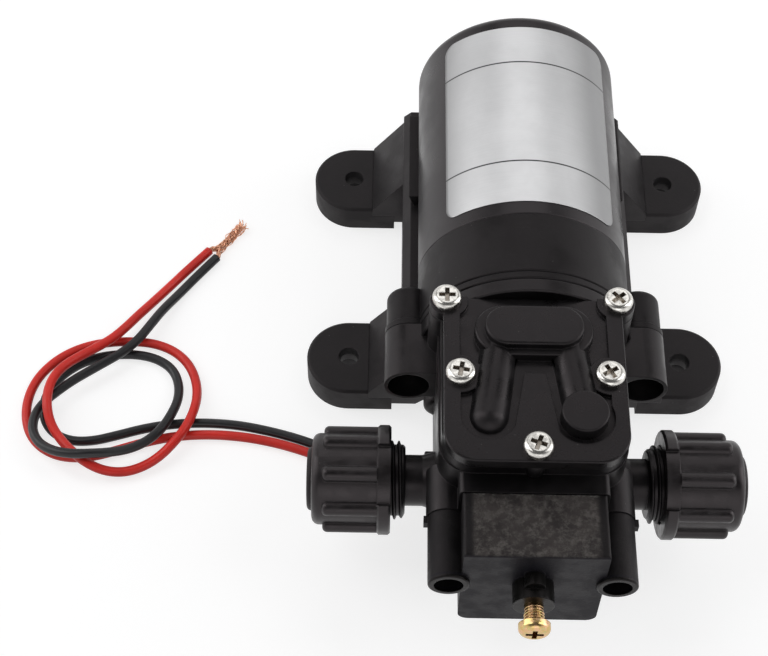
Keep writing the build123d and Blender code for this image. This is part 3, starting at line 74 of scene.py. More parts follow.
# Camera, as fitted to the photograph
IMAGE_WIDTH = 768
FOCAL_PIXELS = 1712.6
SENSOR_MM = 36.0
CAMERA_AT = (-0.03455, -0.27371, 0.38647)
CAMERA_AIM = (-0.03434, -0.03517, 0.030)
CAMERA_ROLL = math.radians(1.08)

# Stage: the point that the lamps face, and how far the floor lies under the feet
LAMP_AIM = (0.0, -0.03, 0.03)
FLOOR_Z = -0.00005

# Can and label
CAN_R = 0.026
CAN_AXIS_Z = JOINTS["shaft_spin"]["pos_m"][2]
LABEL_LIFT = 0.00004
LABEL_THICK = 0.00013
LABEL_CORNER = 0.0032
LABEL_LEFT = math.radians(48.5)
LABEL_POINTS = 61
RULES_MM = (25.4, -6.9)
RULE_WIDTH_MM = 0.42
RULE_BLUR_MM = 0.06

# Cover screws: their axes, and the reach and depth of the painted shade in their driver slots
COVER_SCREWS_MM = ((-19.85, -46.8), (19.85, -46.8), (-16.8, -67.05), (16.8, -67.05), (0.0, -85.8))
COVER_SLOT_REACH_MM = (1.98, 2.10)
COVER_SLOT_DEPTH_MM = (0.9, 0.08)

# Boss round the front cover screw
BOSS_R = 0.0024
BOSS_CLEAR = 0.00156
BOSS_ROUND = 0.0005
BOSS_INTO_WALL = 0.00006
BOSS_OUTER_POINTS = 25
BOSS_INNER_POINTS = 17

# Port and nut threads: reach from the middle of the pump, and radii
PORT_THREAD = (0.0290, 0.0432)
NUT_THREAD = (0.0326, 0.0430)
PORT_ROOT = 0.0085
PORT_CREST = 0.0094
NUT_ROOT = 0.00955
NUT_CREST = 0.00916

# Adjusting screw: its thread outside and in the boss, the painted shade in its driver slot, and where
# the painted shade between the thread's ridges starts
ADJUSTER_CORE = 0.0021
ADJUSTER_THREAD = (-0.1172, -0.1130)
ADJUSTER_IN_BOSS = -0.1146
ADJUSTER_FLAT = 0.00004
ADJUSTER_EASE = 0.0002
ADJUSTER_SLOT_REACH_MM = (2.0, 2.12)
ADJUSTER_SLOT_DEPTH_MM = (0.10, 0.8)
ADJUSTER_VALLEY_SHADE_MM = (2.55, 2.7)

# Section of a thread's ridge, in shares of the pitch and of the full height; the last point closes it
RIDGE_PLACES = (-0.36, -0.10, 0.10, 0.36, 0.0)
RIDGE_HEIGHTS = (0.0, 1.0, 1.0, 0.0, 0.0)
RIDGE_SINK = 0.00012
RIDGE_STEPS_PER_TURN = 56

# Switch box: where its end, end boss, sealant and the flat part of its top start and end
BOX_END_MM = (-107.45, -107.2)
BOX_BOSS_MM = (-108.2, -107.7)
BOX_SEALANT_MM = (-91.4, -91.1)
BOX_TOP_MM = (13.2, 14.6)
BOX_WARM = (0.044, 0.039, 0.037)
# Painted bluish sheen on the end face
BOX_END_PAINTED_SHEEN = (0.0055, 0.0055, 0.0085)
BOX_DUST = (0.115, 0.106, 0.099)
BOX_SCRATCH = (0.11, 0.105, 0.10)
BOX_BOSS = (0.0045, 0.0045, 0.0040)
SEALANT = (0.010, 0.010, 0.010)
SEALANT_SPECK = (0.12, 0.115, 0.11)

# Second tones of the other finishes, and painted shade for the screws' driver slots and thread grooves;
# the sheen tints what the black mouldings reflect
WARM_SHEEN = (1.0, 0.89, 0.92, 1.0)
DUST_SPECK = (0.35, 0.34, 0.33)
PAINTED_SLOT_SHADE = (0.17, 0.14, 0.11)
PAINTED_GROOVE_SHADE = (0.20, 0.10, 0.04)
ZINC_ROSE = (0.78, 0.46, 0.30)
ZINC_OLIVE = (0.50, 0.50, 0.22)

# Copper strands: points and sides of a tube, the bundle's radius and fraying, and shares of a line's length
STRAND_POINTS = 46
STRAND_SIDES = 6
BUNDLE_R = 0.00145
FRAY = 0.0016
STRANDS_MEET = 0.22
STRANDS_SHORT = 0.22
FRAY_START = 0.6


def metres(points):
    """Points given in millimetres, in metres."""
    return [tuple(round(value / MM_PER_METRE, 6) for value in point) for point in points]


# Leads and their bared ends, by points in millimetres
BLACK_ROUTE = metres([
    (-23.8, -65.4, 16.2), (-28.6, -65.4, 16.2), (-33.2, -63.2, 12.6), (-37.6, -60.0, 7.6),
    (-42.6, -56.8, 3.4), (-48.6, -54.0, 1.4), (-55.5, -51.2, 1.3), (-63.5, -48.9, 1.3),
    (-72.0, -47.2, 1.3), (-80.5, -46.7, 1.3), (-88.5, -47.2, 1.3), (-96.0, -48.7, 1.3),
    (-103.0, -51.0, 1.3), (-109.0, -52.8, 1.3), (-114.7, -53.0, 1.3), (-119.4, -50.9, 1.3),
    (-122.3, -47.0, 1.3), (-123.3, -42.2, 1.3), (-122.2, -37.3, 1.3), (-119.4, -32.9, 1.3),
    (-115.4, -29.4, 1.3), (-110.5, -27.0, 1.3), (-105.0, -26.0, 1.3), (-99.5, -26.0, 1.3),
    (-94.5, -27.3, 1.3), (-90.3, -30.3, 1.3), (-88.2, -35.0, 1.5), (-87.8, -40.5, 2.8),
    (-88.8, -45.8, 4.5), (-91.0, -50.5, 4.6), (-94.5, -54.3, 4.4), (-98.8, -57.0, 4.9),
    (-103.3, -58.9, 6.4), (-108.2, -60.0, 7.6), (-113.4, -60.2, 7.6), (-118.3, -58.8, 6.6),
    (-122.3, -55.8, 5.4), (-124.5, -51.6, 4.6), (-124.4, -47.0, 4.4), (-122.4, -43.0, 4.4),
    (-119.3, -39.7, 4.4), (-115.8, -36.5, 4.5), (-111.8, -33.4, 4.4), (-107.6, -30.4, 4.5),
    (-103.4, -27.2, 4.4), (-99.8, -23.2, 4.4), (-97.0, -18.2, 4.2), (-94.4, -12.4, 2.8),
    (-90.6, -6.3, 1.5), (-86.0, 0.3, 1.3), (-81.1, 6.6, 1.3),
])
RED_ROUTE = metres([
    (-23.8, -68.6, 16.2), (-28.6, -68.6, 16.2), (-33.2, -66.4, 12.6), (-37.6, -63.2, 7.6),
    (-42.6, -60.0, 3.4), (-48.6, -57.0, 1.4), (-55.5, -54.2, 1.3), (-63.5, -51.9, 1.3),
    (-72.0, -50.5, 1.3), (-80.5, -50.2, 1.3), (-88.5, -51.0, 1.3), (-95.5, -52.8, 1.3),
    (-102.0, -55.2, 1.3), (-107.8, -57.2, 1.3), (-113.5, -58.0, 1.3), (-119.0, -57.0, 1.3),
    (-123.6, -53.9, 1.3), (-126.5, -49.3, 1.3), (-127.6, -43.8, 1.3), (-127.2, -38.3, 1.3),
    (-125.3, -33.1, 1.3), (-121.8, -28.6, 1.3), (-117.3, -25.2, 1.3), (-112.0, -23.0, 1.3),
    (-106.4, -22.0, 1.3), (-100.7, -21.8, 1.3), (-95.2, -22.5, 1.3), (-90.2, -24.7, 1.3),
    (-86.3, -28.4, 1.3), (-83.9, -33.4, 1.4), (-82.9, -39.2, 2.6), (-83.3, -45.2, 4.5),
    (-85.0, -50.3, 4.6), (-87.6, -54.2, 4.2), (-90.8, -57.6, 3.0), (-94.9, -60.3, 2.0),
    (-99.8, -62.2, 1.9), (-104.9, -62.5, 3.0), (-109.5, -61.0, 4.4), (-113.4, -57.9, 4.6),
    (-116.8, -54.4, 4.6), (-119.6, -50.6, 5.6), (-121.0, -46.2, 7.2), (-121.2, -41.3, 7.7),
    (-120.2, -36.4, 7.0), (-117.8, -32.0, 5.6), (-114.3, -28.6, 4.6), (-110.4, -25.8, 4.4),
    (-106.5, -22.8, 4.4), (-103.3, -19.0, 4.3), (-100.6, -14.4, 3.2), (-97.2, -9.2, 2.0),
    (-93.2, -3.6, 1.4), (-88.4, 2.7, 1.3), (-83.3, 8.9, 1.3),
])
BLACK_STRANDS = metres([
    (-81.1, 6.6, 1.3), (-79.1, 9.3, 1.3), (-76.6, 13.3, 1.1), (-73.4, 18.6, 1.0),
])
RED_STRANDS = metres([
    (-83.3, 8.9, 1.3), (-81.0, 11.6, 1.3), (-78.3, 14.9, 1.1), (-74.9, 19.8, 1.0),
])


# Surfaces

def smooth_step(share):
    """3 s^2 - 2 s^3 of a share s that is kept between 0 and 1."""
    share = np.clip(share, 0, 1)
    return share * share * (3 - 2 * share)


def inside_out(points, faces):
    """True when four-sided faces point inwards: the tetrahedra from the middle of the points to both halves
    of each face then have a negative volume in all."""
    a, b, c, d = ((points - points.mean(0))[faces[:, corner]] for corner in range(4))
    return np.sum(a * np.cross(b, c)) + np.sum(a * np.cross(c, d)) < 0


def tube_faces(rings):
    """Walls and end faces of a closed tube from an array of rings (ring, side, xyz): four-sided walls join
    each point with the next one on its ring and on the next ring."""
    count, sides, _ = rings.shape
    ring = np.arange(count - 1)[:, None] * sides
    side = np.arange(sides)[None, :]
    after = (side + 1) % sides
    corners = [ring + side, ring + after, ring + sides + after, ring + sides + side]
    walls = np.stack(corners, -1).reshape(-1, 4)
    ends = np.stack([np.arange(sides)[::-1], np.arange(sides) + (count - 1) * sides])
    if inside_out(rings.reshape(-1, 3), walls):
        walls, ends = walls[:, ::-1], ends[:, ::-1]
    return walls, ends


def tube_mesh(name, rings):
    """Closed tube from an array of rings (ring, side, xyz)."""
    walls, ends = tube_faces(rings)
    return piece(name, rings.reshape(-1, 3), walls.tolist() + ends.tolist())


def piece(name, points, faces, smooth=True):
    """Mesh object at the origin with its place in its mesh."""
    mesh = bpy.data.meshes.new(name)
    mesh.from_pydata(np.asarray(points).tolist(), [], faces)
    mesh.update()
    mesh.polygons.foreach_set("use_smooth", [smooth] * len(mesh.polygons))
    made = bpy.data.objects.new(name, mesh)
    bpy.context.scene.collection.objects.link(made)
    return made


def thread_rings(span, root, crest, pitch, phase, along):
    """Helical ridge: the angle grows by a full turn per pitch, and the five-sided section runs from under the
    root up to a narrow crest and back.  Its height eases in and out over the first and last half turn.
    crest is a radius or a function of the place along the axis; along is 'x' or 'y', the axis that the ridge
    winds round by the right-hand rule."""
    start, end = span
    run = np.linspace(0, end - start, int((end - start) / pitch * RIDGE_STEPS_PER_TURN))
    angle = 2 * np.pi * run / pitch + phase
    ease = smooth_step(np.minimum(run, run[-1] - run) / (0.5 * pitch))
    if callable(crest):
        crest = crest(start + run)[:, None]
    sink = np.copysign(RIDGE_SINK, root - np.mean(crest))
    radius = root + sink + (crest - root - sink) * np.array(RIDGE_HEIGHTS) * ease[:, None]
    radius[:, -1] += sink
    place = (start + run)[:, None] + np.array(RIDGE_PLACES) * pitch
    cos, sin = radius * np.cos(angle)[:, None], radius * np.sin(angle)[:, None]
    return np.stack([place, cos, sin] if along == "x" else [sin, place, cos], -1)


def nurbs(route, name):
    """Open NURBS curve with the route's points as control points."""
    data = bpy.data.curves.new(name, "CURVE")
    data.dimensions = "3D"
    data.resolution_u = 10
    spline = data.splines.new("NURBS")
    spline.points.add(len(route) - 1)
    for point, place in zip(spline.points, route):
        point.co = (*place, 1.0)
    spline.order_u = 3
    spline.use_endpoint_u = True
    made = bpy.data.objects.new(name, data)
    bpy.context.scene.collection.objects.link(made)
    return made


def route_points(route, name):
    """Points along the smooth NURBS curve of a route, from a curve that has no bevel."""
    curve = nurbs(route, name)
    mesh = bpy.data.meshes.new_from_object(curve)
    points = np.array([vertex.co[:] for vertex in mesh.vertices])
    bpy.data.objects.remove(curve)
    bpy.data.meshes.remove(mesh)
    return points


def resample(points, count):
    """Evenly spaced points along a line of points."""
    step = np.linalg.norm(np.diff(points, axis=0), axis=1)
    run = np.concatenate([[0], np.cumsum(step)])
    at = np.linspace(0, run[-1], count)
    return np.stack([np.interp(at, run, points[:, axis]) for axis in range(3)], -1)


# Shader tools

def feed(tree, socket, value):
    """Joins another socket to this input, or sets the input's own value."""
    if isinstance(value, bpy.types.NodeSocket):
        tree.links.new(value, socket)
    else:
        socket.default_value = value


def add(tree, kind, inputs=None, **settings):
    """New shader node; inputs maps an input's name or number to a socket or a value."""
    made = tree.nodes.new(kind)
    for key, value in settings.items():
        setattr(made, key, value)
    for key, value in (inputs or {}).items():
        feed(tree, made.inputs[key], value)
    return made


def math_node(tree, operation, a, b=0.0, clamp=False):
    """Result of one operation on two sockets or numbers."""
    return add(tree, "ShaderNodeMath", {0: a, 1: b}, operation=operation, use_clamp=clamp).outputs[0]


def times(tree, a, b, clamp=False):
    """a times b."""
    return math_node(tree, "MULTIPLY", a, b, clamp)


def plus(tree, a, b, clamp=False):
    """a plus b."""
    return math_node(tree, "ADD", a, b, clamp)


def minus(tree, a, b, clamp=False):
    """a less b."""
    return math_node(tree, "SUBTRACT", a, b, clamp)


def fold(tree, operation, values):
    """One value out of many, by an operation such as MINIMUM or MAXIMUM."""
    return functools.reduce(lambda a, b: math_node(tree, operation, a, b), values)


def ramp(tree, value, low, high, start=0.0, end=1.0):
    """Smooth step of a value from low to high, put out between start and end."""
    made = add(tree, "ShaderNodeMapRange", {
        "Value": value, "From Min": low, "From Max": high, "To Min": start, "To Max": end},
        interpolation_type="SMOOTHSTEP")
    return made.outputs[0]


def noise(tree, place, scale, detail, roughness=0.5, distortion=0.0):
    """Level of a noise pattern at a place."""
    made = add(tree, "ShaderNodeTexNoise", {
        "Vector": place, "Scale": scale, "Detail": detail, "Roughness": roughness, "Distortion": distortion})
    return made.outputs[0]


def blend_colour(tree, factor, a, b):
    """Mix of two colours; either may be a socket or a colour of three numbers."""
    a, b = (c if isinstance(c, bpy.types.NodeSocket) else (*c, 1.0) for c in (a, b))
    return add(tree, "ShaderNodeMix", {0: factor, 6: a, 7: b}, data_type="RGBA").outputs[2]


def lighter(colour, gain, lift=0.0):
    """A colour times a gain plus a lift, kept under 1."""
    return tuple(min(1.0, c * gain + lift) for c in colour)


# Shader groups: each function puts the nodes into its group and gives the outputs in order

def grain_nodes(tree, given):
    """Height from a fine noise and pits, for the texture of the mould, and Patch from a broad noise, for
    uneven gloss and colour."""
    fine = noise(tree, given["Place"], math_node(tree, "DIVIDE", 1.0, given["Grain size"]), 3.0)
    pits = add(tree, "ShaderNodeTexVoronoi", {
        "Vector": given["Place"], "Scale": math_node(tree, "DIVIDE", 0.6, given["Grain size"])}).outputs[0]
    broad = noise(tree, given["Place"], math_node(tree, "DIVIDE", 1.0, given["Patch size"]), 4.0, 0.6)
    return plus(tree, fine, times(tree, pits, 0.35)), ramp(tree, broad, 0.32, 0.68)


def scuff_nodes(tree, given):
    """Mask: stretched noise where it passes its middle level gives thin lines, kept in patches only.
    Specks: bits of dust at a few of the points of a cell pattern."""
    sizes = {0: given["Place"], 1: given["Stretch"]}
    stretched = add(tree, "ShaderNodeVectorMath", sizes, operation="MULTIPLY").outputs[0]
    lines = noise(tree, stretched, 1.0, 5.0, 0.7, 0.4)
    off = math_node(tree, "ABSOLUTE", minus(tree, lines, 0.5))
    thin = ramp(tree, off, 0.0, 0.014, 1.0, 0.0)
    patchy = ramp(tree, noise(tree, given["Place"], 0.13, 3.0), 0.50, 0.62)
    mask = times(tree, times(tree, thin, patchy), given["Amount"], clamp=True)
    cells = add(tree, "ShaderNodeTexVoronoi", {"Vector": given["Place"], "Scale": 0.8}).outputs
    lot = add(tree, "ShaderNodeSeparateColor", {0: cells["Color"]}).outputs[0]
    few = math_node(tree, "GREATER_THAN", lot, 0.93)
    return mask, times(tree, ramp(tree, cells["Distance"], 0.04, 0.10, 1.0, 0.0), few)


def edge_nodes(tree, given):
    """Normal: the normal averaged over a small radius.  Mask: how far that leans from the true normal."""
    rounded = add(tree, "ShaderNodeBevel", {"Radius": given["Radius"]}, samples=4).outputs[0]
    true = tree.nodes.new("ShaderNodeNewGeometry").outputs["Normal"]
    same = add(tree, "ShaderNodeVectorMath", {0: rounded, 1: true}, operation="DOT_PRODUCT").outputs["Value"]
    return rounded, times(tree, minus(tree, 1.0, same), given["Gain"], clamp=True)


# For each group: its nodes, and the names and defaults of its inputs and outputs
GROUPS = {
    "Surface grain": (grain_nodes, {"Place": ORIGIN, "Grain size": 0.3, "Patch size": 9.0},
                      {"Height": 0.0, "Patch": 0.0}),
    "Scuffs": (scuff_nodes, {"Place": ORIGIN, "Stretch": (0.25, 2.2, 1.2), "Amount": 0.3},
               {"Mask": 0.0, "Specks": 0.0}),
    "Worn edges": (edge_nodes, {"Radius": 0.0003, "Gain": 4.0}, {"Normal": ORIGIN, "Mask": 0.0}),
}


def make_group(name):
    """The shader group of this name, with its sockets and nodes."""
    fill, inputs, outputs = GROUPS[name]
    tree = bpy.data.node_groups.new(name, "ShaderNodeTree")
    for sockets, way in ((inputs, "INPUT"), (outputs, "OUTPUT")):
        for label, default in sockets.items():
            kind = "NodeSocketVector" if isinstance(default, tuple) else "NodeSocketFloat"
            tree.interface.new_socket(name=label, in_out=way, socket_type=kind).default_value = default
    given = tree.nodes.new("NodeGroupInput").outputs
    out = tree.nodes.new("NodeGroupOutput").inputs
    for label, result in zip(outputs, fill(tree, given)):
        tree.links.new(result, out[label])
    return tree


def use_group(tree, name, inputs):
    """Outputs of a shader group placed in this tree; the group is made the first time."""
    group = bpy.data.node_groups.get(name) or make_group(name)
    return add(tree, "ShaderNodeGroup", inputs, node_tree=group).outputs


# Materials

class Finish:
    """A material with object coordinates in millimetres, a grain, an edge mask and a Principled shader."""

    def __init__(self, name, grain, patch, rounding):
        self.material = bpy.data.materials.new(name)
        self.material.use_nodes = True
        self.tree = self.material.node_tree
        self.shader = self.tree.nodes["Principled BSDF"]
        place = self.tree.nodes.new("ShaderNodeTexCoord").outputs["Object"]
        scaled = add(self.tree, "ShaderNodeVectorMath", {0: place, 3: MM_PER_METRE}, operation="SCALE")
        self.place = scaled.outputs[0]
        self.grain = use_group(self.tree, "Surface grain", {
            "Place": self.place, "Grain size": grain, "Patch size": patch})
        self.edge = use_group(self.tree, "Worn edges", {"Radius": rounding / MM_PER_METRE, "Gain": 4.0})

    def axes(self):
        """X, Y and Z in millimetres."""
        return add(self.tree, "ShaderNodeSeparateXYZ", {0: self.place}).outputs

    def patches(self, start, end, low=0.0, high=1.0):
        """A value that goes from start to end with the broad pattern of the grain."""
        return ramp(self.tree, self.grain["Patch"], low, high, start, end)

    def scuffs(self, amount, stretch):
        """Outputs Mask and Specks of the scuffs."""
        return use_group(self.tree, "Scuffs", {"Place": self.place, "Stretch": stretch, "Amount": amount})

    def paint(self, colour, roughness, height=None, relief=0.02, others=None):
        """Joins a colour, a roughness and a height, with a relief in millimetres, and joins or sets the
        shader's other inputs."""
        bump = add(self.tree, "ShaderNodeBump", {
            "Height": height or self.grain["Height"], "Distance": relief / MM_PER_METRE, "Strength": 1.0,
            "Normal": self.edge["Normal"]})
        values = {"Base Color": colour, "Roughness": roughness, "Normal": bump.outputs[0], **(others or {})}
        for name, value in values.items():
            feed(self.tree, self.shader.inputs[name], value)
        return self.material


def moulded(name, colour, roughness, grain=0.3, relief=0.02, scuffs=0.15, specular=0.3, wear=0.35, patch=9.0,
            rounding=0.25, stretch=(0.25, 2.2, 1.2)):
    """Black moulding or rubber: uneven colour and gloss, fine grain, a few scuffs and lighter worn edges."""
    made = Finish(name, grain, patch, rounding)
    tree = made.tree
    marks = made.scuffs(scuffs, stretch)
    base = blend_colour(tree, made.grain["Patch"], colour, lighter(colour, 1.45, 0.002))
    base = blend_colour(tree, marks["Mask"], base, lighter(colour, 3.0, 0.05))
    base = blend_colour(tree, times(tree, marks["Specks"], 0.35), base, DUST_SPECK)
    worn = times(tree, made.edge["Mask"], times(tree, made.grain["Patch"], wear))
    base = blend_colour(tree, worn, base, lighter(colour, 2.2, 0.02))
    gloss = made.patches(roughness - 0.06, roughness + 0.08)
    gloss = plus(tree, gloss, times(tree, marks["Mask"], 0.3), clamp=True)
    return made.paint(base, gloss, relief=relief, others={
        "Specular IOR Level": specular, "Specular Tint": WARM_SHEEN})


def metal(name, colour, roughness, grain=0.15, relief=0.006, scuffs=0.4, patch=3.0, dark=0.55,
          stretch=(1.4, 0.2, 1.4), rounding=0.12, painted_recess_shade=None):
    """Bare or plated metal: a metallic colour with duller patches, fine scratches and bright rounded edges.
    When a mask function is given, the driver slots that it marks are darkened with painted shade."""
    made = Finish(name, grain, patch, rounding)
    tree = made.tree
    base = blend_colour(tree, made.patches(0.0, 0.55), colour, lighter(colour, dark))
    # Painted shade in the driver slots
    if painted_recess_shade:
        base = blend_colour(tree, painted_recess_shade(made), base, PAINTED_SLOT_SHADE)
    marks = made.scuffs(scuffs, stretch)["Mask"]
    base = blend_colour(tree, marks, base, lighter(colour, 1.25, 0.05))
    gloss = plus(tree, made.patches(roughness, roughness + 0.12), times(tree, marks, 0.2), clamp=True)
    return made.paint(base, gloss, relief=relief, others={"Metallic": 1.0})


def cover_slot_painted_shade(made):
    """Painted shade in the driver slots of the cover screws: 1 near a screw's axis and under the head's top.
    """
    tree = made.tree
    x, y, z = made.axes()
    flat = add(tree, "ShaderNodeCombineXYZ", {0: x, 1: y}).outputs[0]
    screws = [{0: flat, 1: (*axis, 0.0)} for axis in COVER_SCREWS_MM]
    nodes = [add(tree, "ShaderNodeVectorMath", ends, operation="DISTANCE") for ends in screws]
    off = fold(tree, "MINIMUM", [node.outputs["Value"] for node in nodes])
    inside = ramp(tree, off, *COVER_SLOT_REACH_MM, 1.0, 0.0)
    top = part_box("cover_screws")[1].z * MM_PER_METRE
    deep, shallow = COVER_SLOT_DEPTH_MM
    return times(tree, inside, ramp(tree, z, top - deep, top - shallow, 0.82, 0.0))


def adjuster_painted_shade(made):
    """Painted shade: 1 in the driver slot of the adjusting screw and between the ridges of its thread, whose
    place is the share of a turn taken from the place along the axis in pitches."""
    tree = made.tree
    x, y, z = made.axes()
    up = minus(tree, z, CAN_AXIS_Z * MM_PER_METRE)
    off = math_node(tree, "SQRT", plus(tree, times(tree, x, x), times(tree, up, up)))
    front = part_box("adjusting_screw")[0].y * MM_PER_METRE
    shallow, deep = (front + depth for depth in ADJUSTER_SLOT_DEPTH_MM)
    inside = ramp(tree, off, *ADJUSTER_SLOT_REACH_MM, 1.0, 0.0)
    slot = times(tree, inside, ramp(tree, y, shallow, deep, 0.0, 0.93))
    turns = math_node(tree, "DIVIDE", math_node(tree, "ARCTAN2", x, up), 2 * math.pi)
    pitch = bpy.context.scene.pump_threads.adjuster * MM_PER_METRE
    along = math_node(tree, "DIVIDE", minus(tree, y, ADJUSTER_THREAD[0] * MM_PER_METRE), pitch)
    from_ridge = math_node(tree, "PINGPONG", minus(tree, along, turns), 0.5)
    start, end = (front + place for place in ADJUSTER_VALLEY_SHADE_MM)
    # Painted shade between the thread's ridges
    painted_valley_shade = times(tree, ramp(tree, from_ridge, 0.16, 0.34, 0.0, 0.85), ramp(tree, y, start, end))
    return math_node(tree, "MAXIMUM", slot, painted_valley_shade)


def foil_material(name, colour, ink):
    """Silver foil print: faint brushing round the can, painted shade where it turns away, and two ruled
    lines.
    """
    made = Finish(name, 0.12, 14.0, 0.08)
    tree = made.tree
    x, y, z = made.axes()
    up = minus(tree, z, CAN_AXIS_Z * MM_PER_METRE)
    turn = times(tree, math_node(tree, "ARCTAN2", x, up), CAN_R * MM_PER_METRE)
    flat = add(tree, "ShaderNodeCombineXYZ", {0: times(tree, turn, 0.05), 1: times(tree, y, 7.0)}).outputs[0]
    brushed = noise(tree, flat, 1.0, 4.0, 0.65)
    base = blend_colour(tree, made.grain["Patch"], colour, lighter(colour, 0.90))
    base = blend_colour(tree, ramp(tree, brushed, 0.35, 0.65, 0.0, 0.22), base, lighter(colour, 0.8))
    # Painted shade where the foil turns away from the view
    painted_turn_shade = add(tree, "ShaderNodeLayerWeight", {"Blend": 0.5}).outputs["Facing"]
    base = blend_colour(tree, ramp(tree, painted_turn_shade, 0.22, 0.55, 0.0, 0.8), base, lighter(colour, 0.25))
    offs = [math_node(tree, "ABSOLUTE", minus(tree, y, rule)) for rule in RULES_MM]
    half = RULE_WIDTH_MM / 2
    rules = ramp(tree, fold(tree, "MINIMUM", offs), half - RULE_BLUR_MM, half + RULE_BLUR_MM, 1.0, 0.0)
    base = blend_colour(tree, rules, base, ink)
    return made.paint(base, ramp(tree, brushed, 0.3, 0.7, 0.34, 0.48), height=brushed, relief=0.004, others={
        "Metallic": ramp(tree, rules, 0.0, 1.0, 0.55, 0.0)})


def zinc_material(name, colour):
    """Yellow zinc plate: gold that shifts to rose and olive in small patches, and painted shade in the slot
    and grooves.
    """
    made = Finish(name, 0.12, 1.6, 0.12)
    tree = made.tree
    olive = ramp(tree, noise(tree, made.place, 1.1, 2.0), 0.52, 0.66, 0.0, 0.6)
    base = blend_colour(tree, made.patches(0.0, 0.7, 0.2, 0.9), colour, ZINC_ROSE)
    base = blend_colour(tree, olive, base, ZINC_OLIVE)
    # Painted shade in the driver slot and between the thread's ridges
    base = blend_colour(tree, adjuster_painted_shade(made), base, PAINTED_GROOVE_SHADE)
    return made.paint(base, made.patches(0.16, 0.28), relief=0.004, others={"Metallic": 1.0})


def switch_material(name, colour):
    """Switch box moulding: scuffed warm top, bits of sealant along its rear edge, painted bluish sheen on the
    end face.
    """
    made = Finish(name, 0.34, 6.0, 0.3)
    tree = made.tree
    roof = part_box("switch_housing")[1].z * MM_PER_METRE
    x, y, z = made.axes()
    level = ramp(tree, z, roof - 0.5, roof - 0.1)
    top = times(tree, level, ramp(tree, math_node(tree, "ABSOLUTE", x), *BOX_TOP_MM, 1.0, 0.0))
    end = ramp(tree, y, *BOX_END_MM, 1.0, 0.0)
    base = blend_colour(tree, made.grain["Patch"], colour, lighter(colour, 1.4, 0.002))
    base = blend_colour(tree, times(tree, top, made.patches(0.45, 1.0)), base, BOX_WARM)
    # Painted bluish sheen on the end face
    base = blend_colour(tree, times(tree, end, 0.8), base, BOX_END_PAINTED_SHEEN)

    cloud = noise(tree, made.place, 0.55, 6.0, 0.75)
    base = blend_colour(tree, times(tree, top, ramp(tree, cloud, 0.42, 0.72, 0.0, 0.75)), base, BOX_DUST)
    both = [made.scuffs(0.5, stretch)["Mask"] for stretch in ((0.25, 1.9, 1.0), (1.9, 0.25, 1.0))]
    marks = times(tree, fold(tree, "MAXIMUM", both), ramp(tree, top, 0.0, 1.0, 0.25, 1.0))
    base = blend_colour(tree, marks, base, BOX_SCRATCH)

    ragged = noise(tree, made.place, 1.3, 4.0, 0.7)
    reach = plus(tree, y, times(tree, ragged, 2.2))
    band = times(tree, ramp(tree, reach, *BOX_SEALANT_MM), top)
    specks = times(tree, band, ramp(tree, ragged, 0.48, 0.56))
    base = blend_colour(tree, times(tree, band, 0.85), base, SEALANT)
    base = blend_colour(tree, times(tree, specks, 0.8), base, SEALANT_SPECK)
    boss = ramp(tree, y, *BOX_BOSS_MM, 1.0, 0.0)
    base = blend_colour(tree, boss, base, BOX_BOSS)

    gloss = plus(tree, made.patches(0.42, 0.56), times(tree, top, 0.12), clamp=True)
    gloss = minus(tree, gloss, times(tree, boss, 0.18), clamp=True)
    height = plus(tree, made.grain["Height"], times(tree, band, 1.6))
    return made.paint(base, gloss, height=height, relief=0.03, others={
        "Specular IOR Level": 0.16, "Specular Tint": WARM_SHEEN})


def sheath_material(name, colour, specular):
    """Vinyl sheath of a lead: satin, with faint handling marks and slightly uneven colour."""
    made = Finish(name, 0.5, 12.0, 0.05)
    tree = made.tree
    marks = made.scuffs(0.3, (0.7, 0.7, 0.7))["Mask"]
    base = blend_colour(tree, made.grain["Patch"], colour, lighter(colour, 0.82))
    base = blend_colour(tree, marks, base, lighter(colour, 1.3, 0.03))
    return made.paint(base, made.patches(0.34, 0.48), relief=0.012, others={"Specular IOR Level": specular})


def dress(material, *names):
    """Gives CAD nodes this material through their own slots."""
    for name in names:
        node = frame["nodes"][name]
        if not node.material_slots:
            node.data.materials.append(material)
        for place in node.material_slots:
            place.material = material


# Values that a user would change

def colour_property(name, description, default):
    """A linear colour."""
    return bpy.props.FloatVectorProperty(name=name, description=description, subtype="COLOR", size=3,
                                         min=0, max=1, default=default)


def length_property(name, description, default, low, high):
    """A length in metres."""
    return bpy.props.FloatProperty(name=name, description=description, unit="LENGTH", subtype="DISTANCE",
                                   default=default, min=low, max=high, precision=5)


def light_property(name, description, default):
    """A power in watts or a strength."""
    return bpy.props.FloatProperty(name=name, description=description, default=default, min=0)


